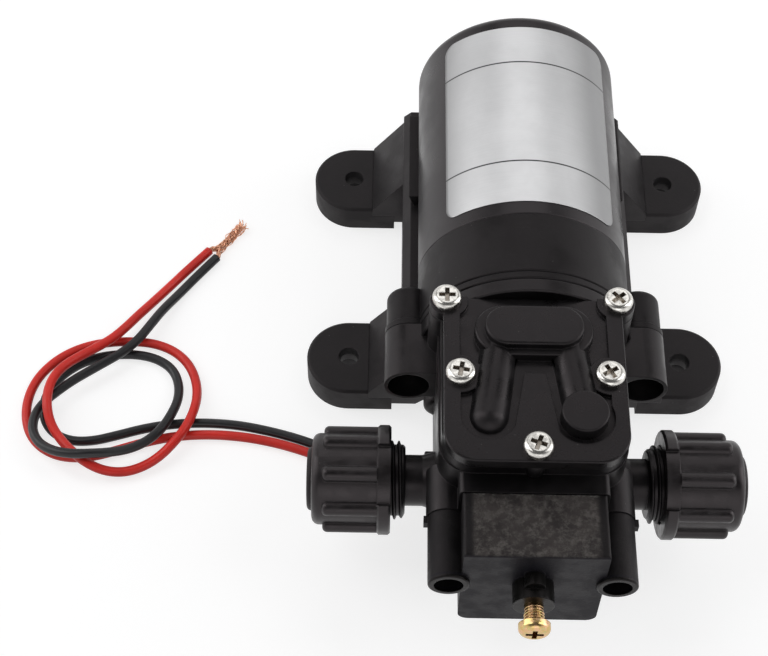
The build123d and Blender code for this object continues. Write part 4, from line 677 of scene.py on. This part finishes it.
class PumpColours(bpy.types.PropertyGroup):
    """Colours of the finishes, linear"""
    can: colour_property("Can", "Paint of the motor can", (0.0064, 0.0061, 0.0068))
    casting: colour_property("Castings", "Coated castings between motor and pump", (0.0062, 0.0058, 0.0062))
    moulding: colour_property("Moulding", "Black moulded pump body", (0.0062, 0.0058, 0.0062))
    cover: colour_property("Cover", "Head cover moulding", (0.0062, 0.0058, 0.0062))
    nut: colour_property("Nuts", "Union nuts and plugs", (0.0076, 0.0068, 0.0071))
    switch: colour_property("Switch", "Switch box moulding", (0.0065, 0.0062, 0.0066))
    feet: colour_property("Feet", "Rubber of the feet", (0.0115, 0.0110, 0.0115))
    foil: colour_property("Foil", "Silver foil of the label", (0.80, 0.80, 0.81))
    ink: colour_property("Ink", "Ruled lines on the label", (0.02, 0.02, 0.02))
    nickel: colour_property("Nickel", "Plating of the cover screws", (0.74, 0.72, 0.68))
    zinc: colour_property("Yellow zinc", "Plating of the adjusting screw", (0.62, 0.43, 0.17))
    copper: colour_property("Copper", "Bare strands", (0.92, 0.50, 0.33))
    red: colour_property("Red sheath", "Red lead", (0.80, 0.030, 0.020))
    black: colour_property("Black sheath", "Black lead", (0.012, 0.012, 0.014))


class PumpLeads(bpy.types.PropertyGroup):
    """The two leads and their bared ends"""
    diameter: length_property("Diameter", "Outside diameter of a lead", 0.0025, 0.001, 0.005)
    strand: length_property("Strand radius", "Radius of one copper strand", 0.00012, 0.00005, 0.0004)
    strands: bpy.props.IntProperty(name="Strands", description="Copper strands in each lead", default=24,
                                   min=5, max=40)
    twist: bpy.props.FloatProperty(name="Twist", description="Turn of the strands over the bared end",
                                   subtype="ANGLE", default=math.radians(430))


class PumpThreads(bpy.types.PropertyGroup):
    """Thread pitches"""
    port: length_property("Port pitch", "Pitch of the port and nut threads", 0.0016, 0.0008, 0.003)
    adjuster: length_property("Adjuster pitch", "Pitch of the adjusting screw", 0.0007, 0.0004, 0.0012)
    adjuster_height: length_property("Adjuster ridge", "Height of the adjusting screw's thread", 0.00022,
                                     0.00005, 0.0005)


class PumpStage(bpy.types.PropertyGroup):
    """Light and floor"""
    key: light_property("Key lamp", "Power of the left lamp", 3.4)
    side: light_property("Side lamp", "Power of the right lamp", 2.8)
    rear: light_property("Rear lamp", "Power of the lamp above the motor", 0.85)
    front: light_property("Front lamp", "Power of the front lamp", 0.8)
    sky: light_property("Sky", "Strength of the plain surroundings", 0.18)
    floor: colour_property("Floor", "Colour of the floor", (0.38, 0.38, 0.382))
    paleness: bpy.props.FloatProperty(name="Floor paleness", description="Light that the floor itself shows",
                                      default=0.74, min=0, max=1)
    floor_size: length_property("Floor size", "Side of the square floor", 6.0, 1.0, 20.0)


SETTINGS = {"pump_colours": PumpColours, "pump_leads": PumpLeads, "pump_threads": PumpThreads,
            "pump_stage": PumpStage}


# Operators

def seen_directly(tree):
    """1 on rays from the camera and on those that gloss and glass send on."""
    path = tree.nodes.new("ShaderNodeLightPath").outputs
    kinds = ("Is Camera Ray", "Is Glossy Ray", "Is Transmission Ray")
    return fold(tree, "MAXIMUM", [path[kind] for kind in kinds])


class PUMP_OT_stage(bpy.types.Operator):
    """Camera at the photograph's angle, soft lamps, plain surroundings and a pale floor"""
    bl_idname = "pump.stage"
    bl_label = "Stage"

    def execute(self, context):
        stage = context.scene.pump_stage
        self.camera(context.scene)
        self.lamps(context.scene, stage)
        self.world(context.scene, stage)
        self.floor(stage)
        context.scene.view_settings.view_transform = "Standard"
        return {"FINISHED"}

    def camera(self, scene):
        """The fitted camera: it looks at its aim and is rolled about that line."""
        data = bpy.data.cameras.new("camera")
        data.sensor_width = SENSOR_MM
        data.lens = FOCAL_PIXELS * SENSOR_MM / IMAGE_WIDTH
        data.clip_start, data.clip_end = 0.01, 50.0
        made = bpy.data.objects.new("camera", data)
        scene.collection.objects.link(made)
        forward = (Vector(CAMERA_AIM) - Vector(CAMERA_AT)).normalized()
        right = forward.cross(Vector((0, 0, 1))).normalized()
        up = right.cross(forward)
        rolled = right * math.cos(CAMERA_ROLL) + up * math.sin(CAMERA_ROLL)
        above = up * math.cos(CAMERA_ROLL) - right * math.sin(CAMERA_ROLL)
        turn = Matrix((rolled, above, -forward)).transposed()
        made.matrix_world = Matrix.Translation(Vector(CAMERA_AT)) @ turn.to_4x4()
        scene.camera = made

    def lamps(self, scene, stage):
        """Four rectangular lamps: name, power, place, width and length."""
        plans = (("left_lamp", stage.key, (-0.62, 0.10, 0.62), 0.50, 1.0),
                 ("right_lamp", stage.side, (0.66, 0.05, 0.50), 0.40, 0.9),
                 ("rear_lamp", stage.rear, (0.02, 0.46, 0.72), 0.55, 0.40),
                 ("front_lamp", stage.front, (0.05, -0.80, 0.50), 0.60, 0.5))
        for name, power, place, wide, long in plans:
            data = bpy.data.lights.new(name, "AREA")
            data.energy = power
            data.shape = "RECTANGLE"
            data.size, data.size_y = wide, long
            lamp = bpy.data.objects.new(name, data)
            scene.collection.objects.link(lamp)
            lamp.location = place
            lamp.rotation_euler = (Vector(LAMP_AIM) - Vector(place)).to_track_quat("-Z", "Y").to_euler()

    def world(self, scene, stage):
        """Plain surroundings: white where they are seen, darker overhead so that flat tops don't mirror a
        white sky, and with only a weak light of their own."""
        world = bpy.data.worlds.new("surroundings")
        world.use_nodes = True
        scene.world = world
        tree = world.node_tree
        background = tree.nodes["Background"]
        direction = tree.nodes.new("ShaderNodeTexCoord").outputs["Generated"]
        height = add(tree, "ShaderNodeSeparateXYZ", {0: direction}).outputs[2]
        direct = seen_directly(tree)
        shown = times(tree, direct, ramp(tree, height, 0.34, 0.80, 1.0, 0.12))
        light = times(tree, minus(tree, 1.0, direct), stage.sky)
        feed(tree, background.inputs["Strength"], plus(tree, shown, light))
        feed(tree, background.inputs["Color"], WHITE)

    def floor(self, stage):
        """Square floor that is paler where it is seen directly, up to white with the distance."""
        half = stage.floor_size / 2
        corners = [(x * half, y * half, FLOOR_Z) for x, y in ((-1, -1), (1, -1), (1, 1), (-1, 1))]
        made = piece("floor", corners, [(0, 1, 2, 3)], smooth=False)
        material = bpy.data.materials.new("floor")
        material.use_nodes = True
        tree = material.node_tree
        where = tree.nodes.new("ShaderNodeTexCoord").outputs["Object"]
        tint = blend_colour(tree, noise(tree, where, 9.0, 2.0), stage.floor, lighter(stage.floor, 0.985))
        away = add(tree, "ShaderNodeVectorMath", {0: where}, operation="LENGTH").outputs["Value"]
        pale = ramp(tree, away, 0.20, 0.60, stage.paleness, 1.0)
        values = {"Base Color": tint, "Roughness": 0.9, "Specular IOR Level": 0.1, "Emission Color": WHITE,
                  "Emission Strength": times(tree, seen_directly(tree), pale)}
        for name, value in values.items():
            feed(tree, tree.nodes["Principled BSDF"].inputs[name], value)
        made.data.materials.append(material)


class PUMP_OT_leads(bpy.types.Operator):
    """Red and black leads: smooth curves through the loose loop beside the pump, with bared copper ends"""
    bl_idname = "pump.leads"
    bl_label = "Leads"

    def execute(self, context):
        leads, colours = context.scene.pump_leads, context.scene.pump_colours
        copper = metal("bare_copper", colours.copper, 0.24, patch=1.2, dark=0.6, stretch=(0.8, 0.8, 0.8),
                       rounding=0.03)
        ends = self.copper_ends(leads, copper)
        plans = (("black", BLACK_ROUTE, colours.black, 0.45), ("red", RED_ROUTE, colours.red, 0.4))
        for name, route, colour, specular in plans:
            lead = nurbs(route, name + "_lead")
            lead.data.bevel_depth = leads.diameter / 2
            lead.data.bevel_resolution = 5
            lead.data.use_fill_caps = True
            lead.data.materials.append(sheath_material(name + "_sheath", colour, specular))
            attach(lead, "housing")
            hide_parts(name + "_wire")
        return {"FINISHED"}

    def copper_ends(self, leads, material):
        """Strands: each starts in its own lead, then winds round the line between the two leads with a radius
        and phase of its own; the last part opens out.  Six-sided tubes follow those lines."""
        lines = {"black": resample(route_points(BLACK_STRANDS, "black_line"), STRAND_POINTS),
                 "red": resample(route_points(RED_STRANDS, "red_line"), STRAND_POINTS)}
        shared = (lines["black"] + lines["red"]) / 2
        share = np.linspace(0, 1, STRAND_POINTS)
        join = smooth_step(share / STRANDS_MEET)
        forward = np.gradient(shared, axis=0)
        forward /= np.linalg.norm(forward, axis=1)[:, None]
        side = np.cross(forward, (0.0, 0.0, 1.0))
        side /= np.linalg.norm(side, axis=1)[:, None]
        up = np.cross(side, forward)
        opened = np.clip((share - FRAY_START) / (1 - FRAY_START), 0, 1) ** 2
        chance = np.random.default_rng(7)
        made = {}
        for name in ("black", "red"):
            own = lines[name] * (1 - join[:, None]) + shared * join[:, None]
            tubes = []
            for strand in range(leads.strands):
                spread = BUNDLE_R * math.sqrt((strand + 0.5) / leads.strands) * (0.75 + 0.25 * join)
                phase = chance.uniform(0, 2 * np.pi)
                fray = chance.uniform(0.0, FRAY)
                reach = 1.0 - chance.uniform(0.0, STRANDS_SHORT)
                breathing = np.sin(share * chance.uniform(6, 14) + phase)
                swaying = np.sin(share * chance.uniform(8, 18) + 2 * phase)
                radius = spread * (0.75 + 0.35 * breathing) + fray * opened
                angle = phase + leads.twist * share + 0.5 * swaying
                across, rise = radius * np.cos(angle), 0.8 * radius * np.sin(angle)
                at = own + side * across[:, None] + up * rise[:, None]
                at[:, 2] = np.maximum(at[:, 2], leads.strand * 1.2)
                tubes.append(resample(at[:max(6, int(STRAND_POINTS * reach))], STRAND_POINTS))
            made[name] = self.strand_mesh(name + "_copper", np.array(tubes), leads.strand)
            made[name].data.materials.append(material)
            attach(made[name], "housing")
            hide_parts(name + "_strands")
        return made

    def strand_mesh(self, name, lines, radius):
        """Tubes round many lines at once, each ring square to its line.  The sides of a ring start across a
        slanting direction that no strand follows."""
        strands, count, _ = lines.shape
        forward = np.gradient(lines, axis=1)
        forward /= np.linalg.norm(forward, axis=2, keepdims=True)
        side = np.cross(forward, np.array((0.13, -0.21, 1.0)))
        side /= np.linalg.norm(side, axis=2, keepdims=True)
        up = np.cross(side, forward)
        turn = np.linspace(0, 2 * np.pi, STRAND_SIDES, endpoint=False)[:, None]
        around = side[:, :, None] * np.cos(turn) + up[:, :, None] * np.sin(turn)
        rings = lines[:, :, None] + radius * around
        walls, ends = tube_faces(rings[0])
        shift = np.arange(strands)[:, None, None] * count * STRAND_SIDES
        faces = (walls + shift).reshape(-1, 4).tolist() + (ends + shift).reshape(-1, STRAND_SIDES).tolist()
        return piece(name, rings.reshape(-1, 3), faces)


class PUMP_OT_label(bpy.types.Operator):
    """Foil label with rounded corners, wrapped over the can"""
    bl_idname = "pump.label"
    bl_label = "Label"

    def execute(self, context):
        colours = context.scene.pump_colours
        low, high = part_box("label")
        right = math.asin(min(1.0, high.x / (CAN_R + LABEL_LIFT + LABEL_THICK)))
        made = self.foil(low.y, high.y, LABEL_LEFT, right)
        made.data.materials.append(foil_material("label_foil", colours.foil, colours.ink))
        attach(made, "housing")
        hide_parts("label")
        return {"FINISHED"}

    def foil(self, front, rear, left, right):
        """Rounded rectangle bent round the can: the half width of each row is the full one less the corner's
        arc; a point's angle is its sideways place over the radius.  Outer and inner skins join at the rim."""
        mid, half = (front + rear) / 2, (rear - front) / 2
        row = half * np.sin(np.linspace(-1, 1, LABEL_POINTS) * np.pi / 2)
        into = np.clip(np.abs(row) - (half - LABEL_CORNER), 0, LABEL_CORNER)
        arc = np.sqrt(np.maximum(LABEL_CORNER ** 2 - into ** 2, 1e-12))
        width = (left + right) / 2 * CAN_R - LABEL_CORNER + arc
        across = (right - left) / 2 + np.linspace(-1, 1, LABEL_POINTS)[None, :] * width[:, None] / CAN_R
        y = np.repeat((mid + row)[:, None], LABEL_POINTS, 1)
        skins = [np.stack([radius * np.sin(across), y, CAN_AXIS_Z + radius * np.cos(across)], -1)
                 for radius in (CAN_R + LABEL_LIFT, CAN_R + LABEL_LIFT + LABEL_THICK)]
        points = np.concatenate(skins).reshape(-1, 3)
        grid = np.arange(LABEL_POINTS ** 2).reshape(LABEL_POINTS, LABEL_POINTS)
        quads = np.stack([grid[:-1, :-1], grid[1:, :-1], grid[1:, 1:], grid[:-1, 1:]], -1).reshape(-1, 4)
        rim = np.concatenate([grid[0, :-1], grid[:-1, -1], grid[-1, :0:-1], grid[:0:-1, 0]])
        after = np.roll(rim, -1)
        walls = np.stack([rim, after, after + grid.size, rim + grid.size], -1)
        faces = np.concatenate([quads, quads[:, ::-1] + grid.size, walls])
        if inside_out(points, faces):
            faces = faces[:, ::-1]
        return piece("foil_label", points, faces.tolist())


def fitted_piece(name, rings, body, material):
    """A closed tube of rings with its material, on a body of its own."""
    made = tube_mesh(name, rings)
    made.data.materials.append(material)
    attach(made, body)
    return made


class PUMP_OT_port_threads(bpy.types.Operator):
    """Outer threads of the two ports and inner threads of the two union nuts"""
    bl_idname = "pump.port_threads"
    bl_label = "Port threads"

    def execute(self, context):
        pitch = context.scene.pump_threads.port
        colours = context.scene.pump_colours
        port = moulded("port_thread", colours.moulding, 0.42, grain=0.25, relief=0.008, rounding=0.08)
        nut = moulded("nut_thread", colours.nut, 0.5, grain=0.25, relief=0.008, specular=0.25, rounding=0.08)
        plans = (("port_thread", PORT_THREAD, PORT_ROOT, PORT_CREST, 0.0, None, "body_plastic", port),
                 ("nut_thread", NUT_THREAD, NUT_ROOT, NUT_CREST, 0.5, "_ring", "nut_plastic", nut))
        for side, away in (("inlet", -1), ("outlet", 1)):
            _, y, z = JOINTS[side + "_nut_turn"]["pos_m"]
            for kind, span, root, crest, shift, ring, slot, material in plans:
                near, far = sorted(away * reach for reach in span)
                phase = 2 * np.pi * (near / pitch + shift)
                rings = thread_rings((near, far), root, crest, pitch, phase, "x") + np.array((0.0, y, z))
                body = side + ring if ring else "housing"
                fitted_piece(side + "_" + kind, rings, body, material)
        return {"FINISHED"}


class PUMP_OT_adjuster_thread(bpy.types.Operator):
    """Fine thread on the part of the adjusting screw that stands out of its boss"""
    bl_idname = "pump.adjuster_thread"
    bl_label = "Adjuster thread"

    def execute(self, context):
        threads = context.scene.pump_threads
        x, _, z = JOINTS["adjuster_turn"]["pos_m"]
        rings = thread_rings(ADJUSTER_THREAD, ADJUSTER_CORE, self.crest, threads.adjuster, 0.0, "y")
        material = zinc_material("yellow_zinc", context.scene.pump_colours.zinc)
        fitted_piece("adjuster_thread", rings + np.array((x, 0.0, z)), "adjuster", material)
        dress(material, "adjusting_screw")
        return {"FINISHED"}

    def crest(self, place):
        """Full height outside; lower than the bore's clearance on the part that the boss takes in."""
        height = bpy.context.scene.pump_threads.adjuster_height
        free = np.clip((ADJUSTER_IN_BOSS - place) / ADJUSTER_EASE, 0, 1)
        return ADJUSTER_CORE + ADJUSTER_FLAT + (height - ADJUSTER_FLAT) * free


class PUMP_OT_motor_finishes(bpy.types.Operator):
    """Satin paint on the can and coated castings behind the pump body"""
    bl_idname = "pump.motor_finishes"
    bl_label = "Motor finishes"

    def execute(self, context):
        colours = context.scene.pump_colours
        can = moulded("can_paint", colours.can, 0.33, grain=0.5, relief=0.004, scuffs=0.10, specular=0.4,
                      wear=0.15, patch=16.0, rounding=0.4)
        cast = moulded("cast_paint", colours.casting, 0.42, grain=0.45, relief=0.012, scuffs=0.18,
                       specular=0.19, patch=10.0, stretch=(0.2, 2.6, 2.6))
        dress(can, "motor_can")
        dress(cast, "motor_adapter", "bearing_plate")
        return {"FINISHED"}


class PUMP_OT_head_finishes(bpy.types.Operator):
    """Moulded pump body, valve plate with the boss on its front, cover, nuts, plugs and seals"""
    bl_idname = "pump.head_finishes"
    bl_label = "Head finishes"

    def execute(self, context):
        colours = context.scene.pump_colours
        body = moulded("body_plastic", colours.moulding, 0.34, relief=0.014, scuffs=0.35, specular=0.27,
                       stretch=(1.6, 1.6, 0.25))
        cover = moulded("cover_plastic", colours.cover, 0.30, grain=0.22, relief=0.008, scuffs=0.10,
                        specular=0.25, patch=7.0, rounding=0.35)
        nut = moulded("nut_plastic", colours.nut, 0.34, grain=0.22, relief=0.022, scuffs=0.5, specular=0.42,
                      wear=1.0, patch=4.0, rounding=0.4)
        plug = moulded("plug_plastic", colours.nut, 0.5, relief=0.01, rounding=0.3)
        rubber = moulded("seal_rubber", (0.014, 0.014, 0.014), 0.62, grain=0.4, scuffs=0.05, specular=0.25)
        dress(body, "pump_body", "valve_plate")
        dress(cover, "head_cover")
        dress(nut, "inlet_nut", "outlet_nut")
        dress(plug, "inlet_plug", "outlet_plug")
        dress(rubber, "head_gasket", "inlet_seal", "outlet_seal", "inlet_valve", "outlet_valve",
              "switch_diaphragm", "pump_diaphragm", "wire_grommet")
        fitted_piece("front_screw_boss", self.boss_rings(), "housing", body)
        return {"FINISHED"}

    def boss_rings(self):
        """Boss on the front wall round the front cover screw: out along an arc of the boss radius and back
        along an arc that clears the screw, both about the screw's axis and ending just inside the wall.  The
        radius grows over the lowest part as a quarter round."""
        x, y = (value / MM_PER_METRE for value in COVER_SCREWS_MM[-1])
        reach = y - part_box("valve_plate")[0].y - BOSS_INTO_WALL
        low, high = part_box("valve_plate")[0].z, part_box("head_gasket")[1].z + BOSS_INTO_WALL
        back = math.acos(reach / BOSS_CLEAR)
        rings = []
        for rise in (0.0, 0.1 * BOSS_ROUND, 0.3 * BOSS_ROUND, 0.6 * BOSS_ROUND, BOSS_ROUND, high - low):
            radius = BOSS_R - BOSS_ROUND + math.sqrt(BOSS_ROUND ** 2 - max(BOSS_ROUND - rise, 0) ** 2)
            out = math.acos(reach / radius)
            turn = np.concatenate([np.linspace(-out, out, BOSS_OUTER_POINTS),
                                   np.linspace(back, -back, BOSS_INNER_POINTS)])
            far = np.repeat((radius, BOSS_CLEAR), (BOSS_OUTER_POINTS, BOSS_INNER_POINTS))
            rings.append(np.stack([x + far * np.sin(turn), y - far * np.cos(turn),
                                   np.full(len(turn), low + rise)], -1))
        return np.array(rings)


class PUMP_OT_switch_finishes(bpy.types.Operator):
    """Scuffed switch box and the pieces in it"""
    bl_idname = "pump.switch_finishes"
    bl_label = "Switch finishes"

    def execute(self, context):
        box = switch_material("switch_plastic", context.scene.pump_colours.switch)
        inner = moulded("inner_plastic", (0.030, 0.030, 0.032), 0.5, scuffs=0.05)
        nylon = moulded("natural_nylon", (0.60, 0.58, 0.53), 0.45, grain=0.5, relief=0.01, scuffs=0.03,
                        specular=0.4, wear=0.05)
        dress(box, "switch_housing")
        dress(inner, "microswitch", "diaphragm_retainer")
        dress(nylon, "switch_plunger", "switch_button")
        return {"FINISHED"}


class PUMP_OT_base_finishes(bpy.types.Operator):
    """Base bracket and rubber feet"""
    bl_idname = "pump.base_finishes"
    bl_label = "Base finishes"

    def execute(self, context):
        colours = context.scene.pump_colours
        bracket = moulded("bracket_plastic", colours.moulding, 0.46, relief=0.016, scuffs=0.2, specular=0.28,
                          rounding=0.4)
        rubber = moulded("foot_rubber", colours.feet, 0.62, grain=0.5, relief=0.03, scuffs=0.12, wear=0.3,
                         patch=7.0, rounding=0.5)
        dress(bracket, "base_bracket")
        dress(rubber, "rubber_feet")
        return {"FINISHED"}


class PUMP_OT_hardware_finishes(bpy.types.Operator):
    """Plated screws"""
    bl_idname = "pump.hardware_finishes"
    bl_label = "Screw finishes"

    def execute(self, context):
        nickel = context.scene.pump_colours.nickel
        # The cover screws get painted shade in their driver slots
        cover = metal("nickel_cover_screw", nickel, 0.17, patch=1.3, dark=0.45, rounding=0.18,
                      painted_recess_shade=cover_slot_painted_shade)
        other = metal("nickel_screw", nickel, 0.15, patch=1.5, dark=0.7, rounding=0.18)
        dress(cover, "cover_screws")
        dress(other, "frame_screws", "switch_screws", "bracket_screws", "motor_screws", "clamp_screw",
              "eccentric_set_screw")
        return {"FINISHED"}


class PUMP_OT_mechanism_finishes(bpy.types.Operator):
    """Inner pieces of the motor, crank and switch"""
    bl_idname = "pump.mechanism_finishes"
    bl_label = "Mechanism finishes"

    def execute(self, context):
        copper_colour = context.scene.pump_colours.copper
        steel = metal("plain_steel", (0.52, 0.52, 0.53), 0.26, patch=4.0)
        bronze = metal("bronze", (0.55, 0.36, 0.18), 0.38, patch=2.5)
        laminations = metal("laminations", (0.32, 0.32, 0.34), 0.4, stretch=(0.1, 6.0, 0.1))
        copper = metal("copper", copper_colour, 0.3, patch=2.0, stretch=(3.0, 0.3, 3.0))
        magnet = moulded("magnet", (0.060, 0.060, 0.066), 0.55, grain=0.4)
        carbon = moulded("carbon", (0.030, 0.030, 0.031), 0.5, grain=0.2, relief=0.01)
        phenolic = moulded("phenolic", (0.20, 0.105, 0.05), 0.5, relief=0.01)
        rod = moulded("rod_plastic", (0.62, 0.60, 0.55), 0.44, grain=0.5, relief=0.01, scuffs=0.03,
                      specular=0.4, wear=0.05)
        dress(steel, "motor_shaft", "drive_bearing", "crank_bearing", "eccentric", "spring_seat", "end_bell",
              "clamp_washer", "brush_springs", "range_spring", "spacer_sleeves")
        dress(bronze, "rear_bush", "front_bush")
        dress(laminations, "armature_core")
        dress(copper, "windings", "commutator")
        dress(magnet, "magnet_left", "magnet_right")
        dress(carbon, "carbon_brushes")
        dress(phenolic, "brush_plate")
        dress(rod, "connecting_rod")
        return {"FINISHED"}


class PUMP_PT_panel(bpy.types.Panel):
    """Lists the settings and the operators"""
    bl_idname = "PUMP_PT_panel"
    bl_label = "Diaphragm pump"
    bl_space_type = "VIEW_3D"
    bl_region_type = "UI"
    bl_category = "Pump"

    def draw(self, context):
        for name, group in SETTINGS.items():
            box = self.layout.box()
            box.label(text=group.__doc__)
            for key in group.__annotations__:
                box.prop(getattr(context.scene, name), key)
        for operator in OPERATORS:
            self.layout.operator(operator.bl_idname)


OPERATORS = (PUMP_OT_stage, PUMP_OT_leads, PUMP_OT_label, PUMP_OT_port_threads, PUMP_OT_adjuster_thread,
             PUMP_OT_motor_finishes, PUMP_OT_head_finishes, PUMP_OT_switch_finishes, PUMP_OT_base_finishes,
             PUMP_OT_hardware_finishes, PUMP_OT_mechanism_finishes)
CLASSES = (*SETTINGS.values(), *OPERATORS, PUMP_PT_panel)


def register():
    """Registers the classes and puts the settings on the scene."""
    for cls in CLASSES:
        bpy.utils.register_class(cls)
    for name, group in SETTINGS.items():
        setattr(bpy.types.Scene, name, bpy.props.PointerProperty(type=group))


def unregister():
    """Takes the settings and the classes out again."""
    for name in SETTINGS:
        delattr(bpy.types.Scene, name)
    for cls in reversed(CLASSES):
        bpy.utils.unregister_class(cls)


def main():
    """Builds the whole look in order."""
    register()
    bpy.ops.pump.stage()
    bpy.ops.pump.leads()
    bpy.ops.pump.label()
    bpy.ops.pump.port_threads()
    bpy.ops.pump.adjuster_thread()
    bpy.ops.pump.motor_finishes()
    bpy.ops.pump.head_finishes()
    bpy.ops.pump.switch_finishes()
    bpy.ops.pump.base_finishes()
    bpy.ops.pump.hardware_finishes()
    bpy.ops.pump.mechanism_finishes()


if __name__ == "__main__":
    main()
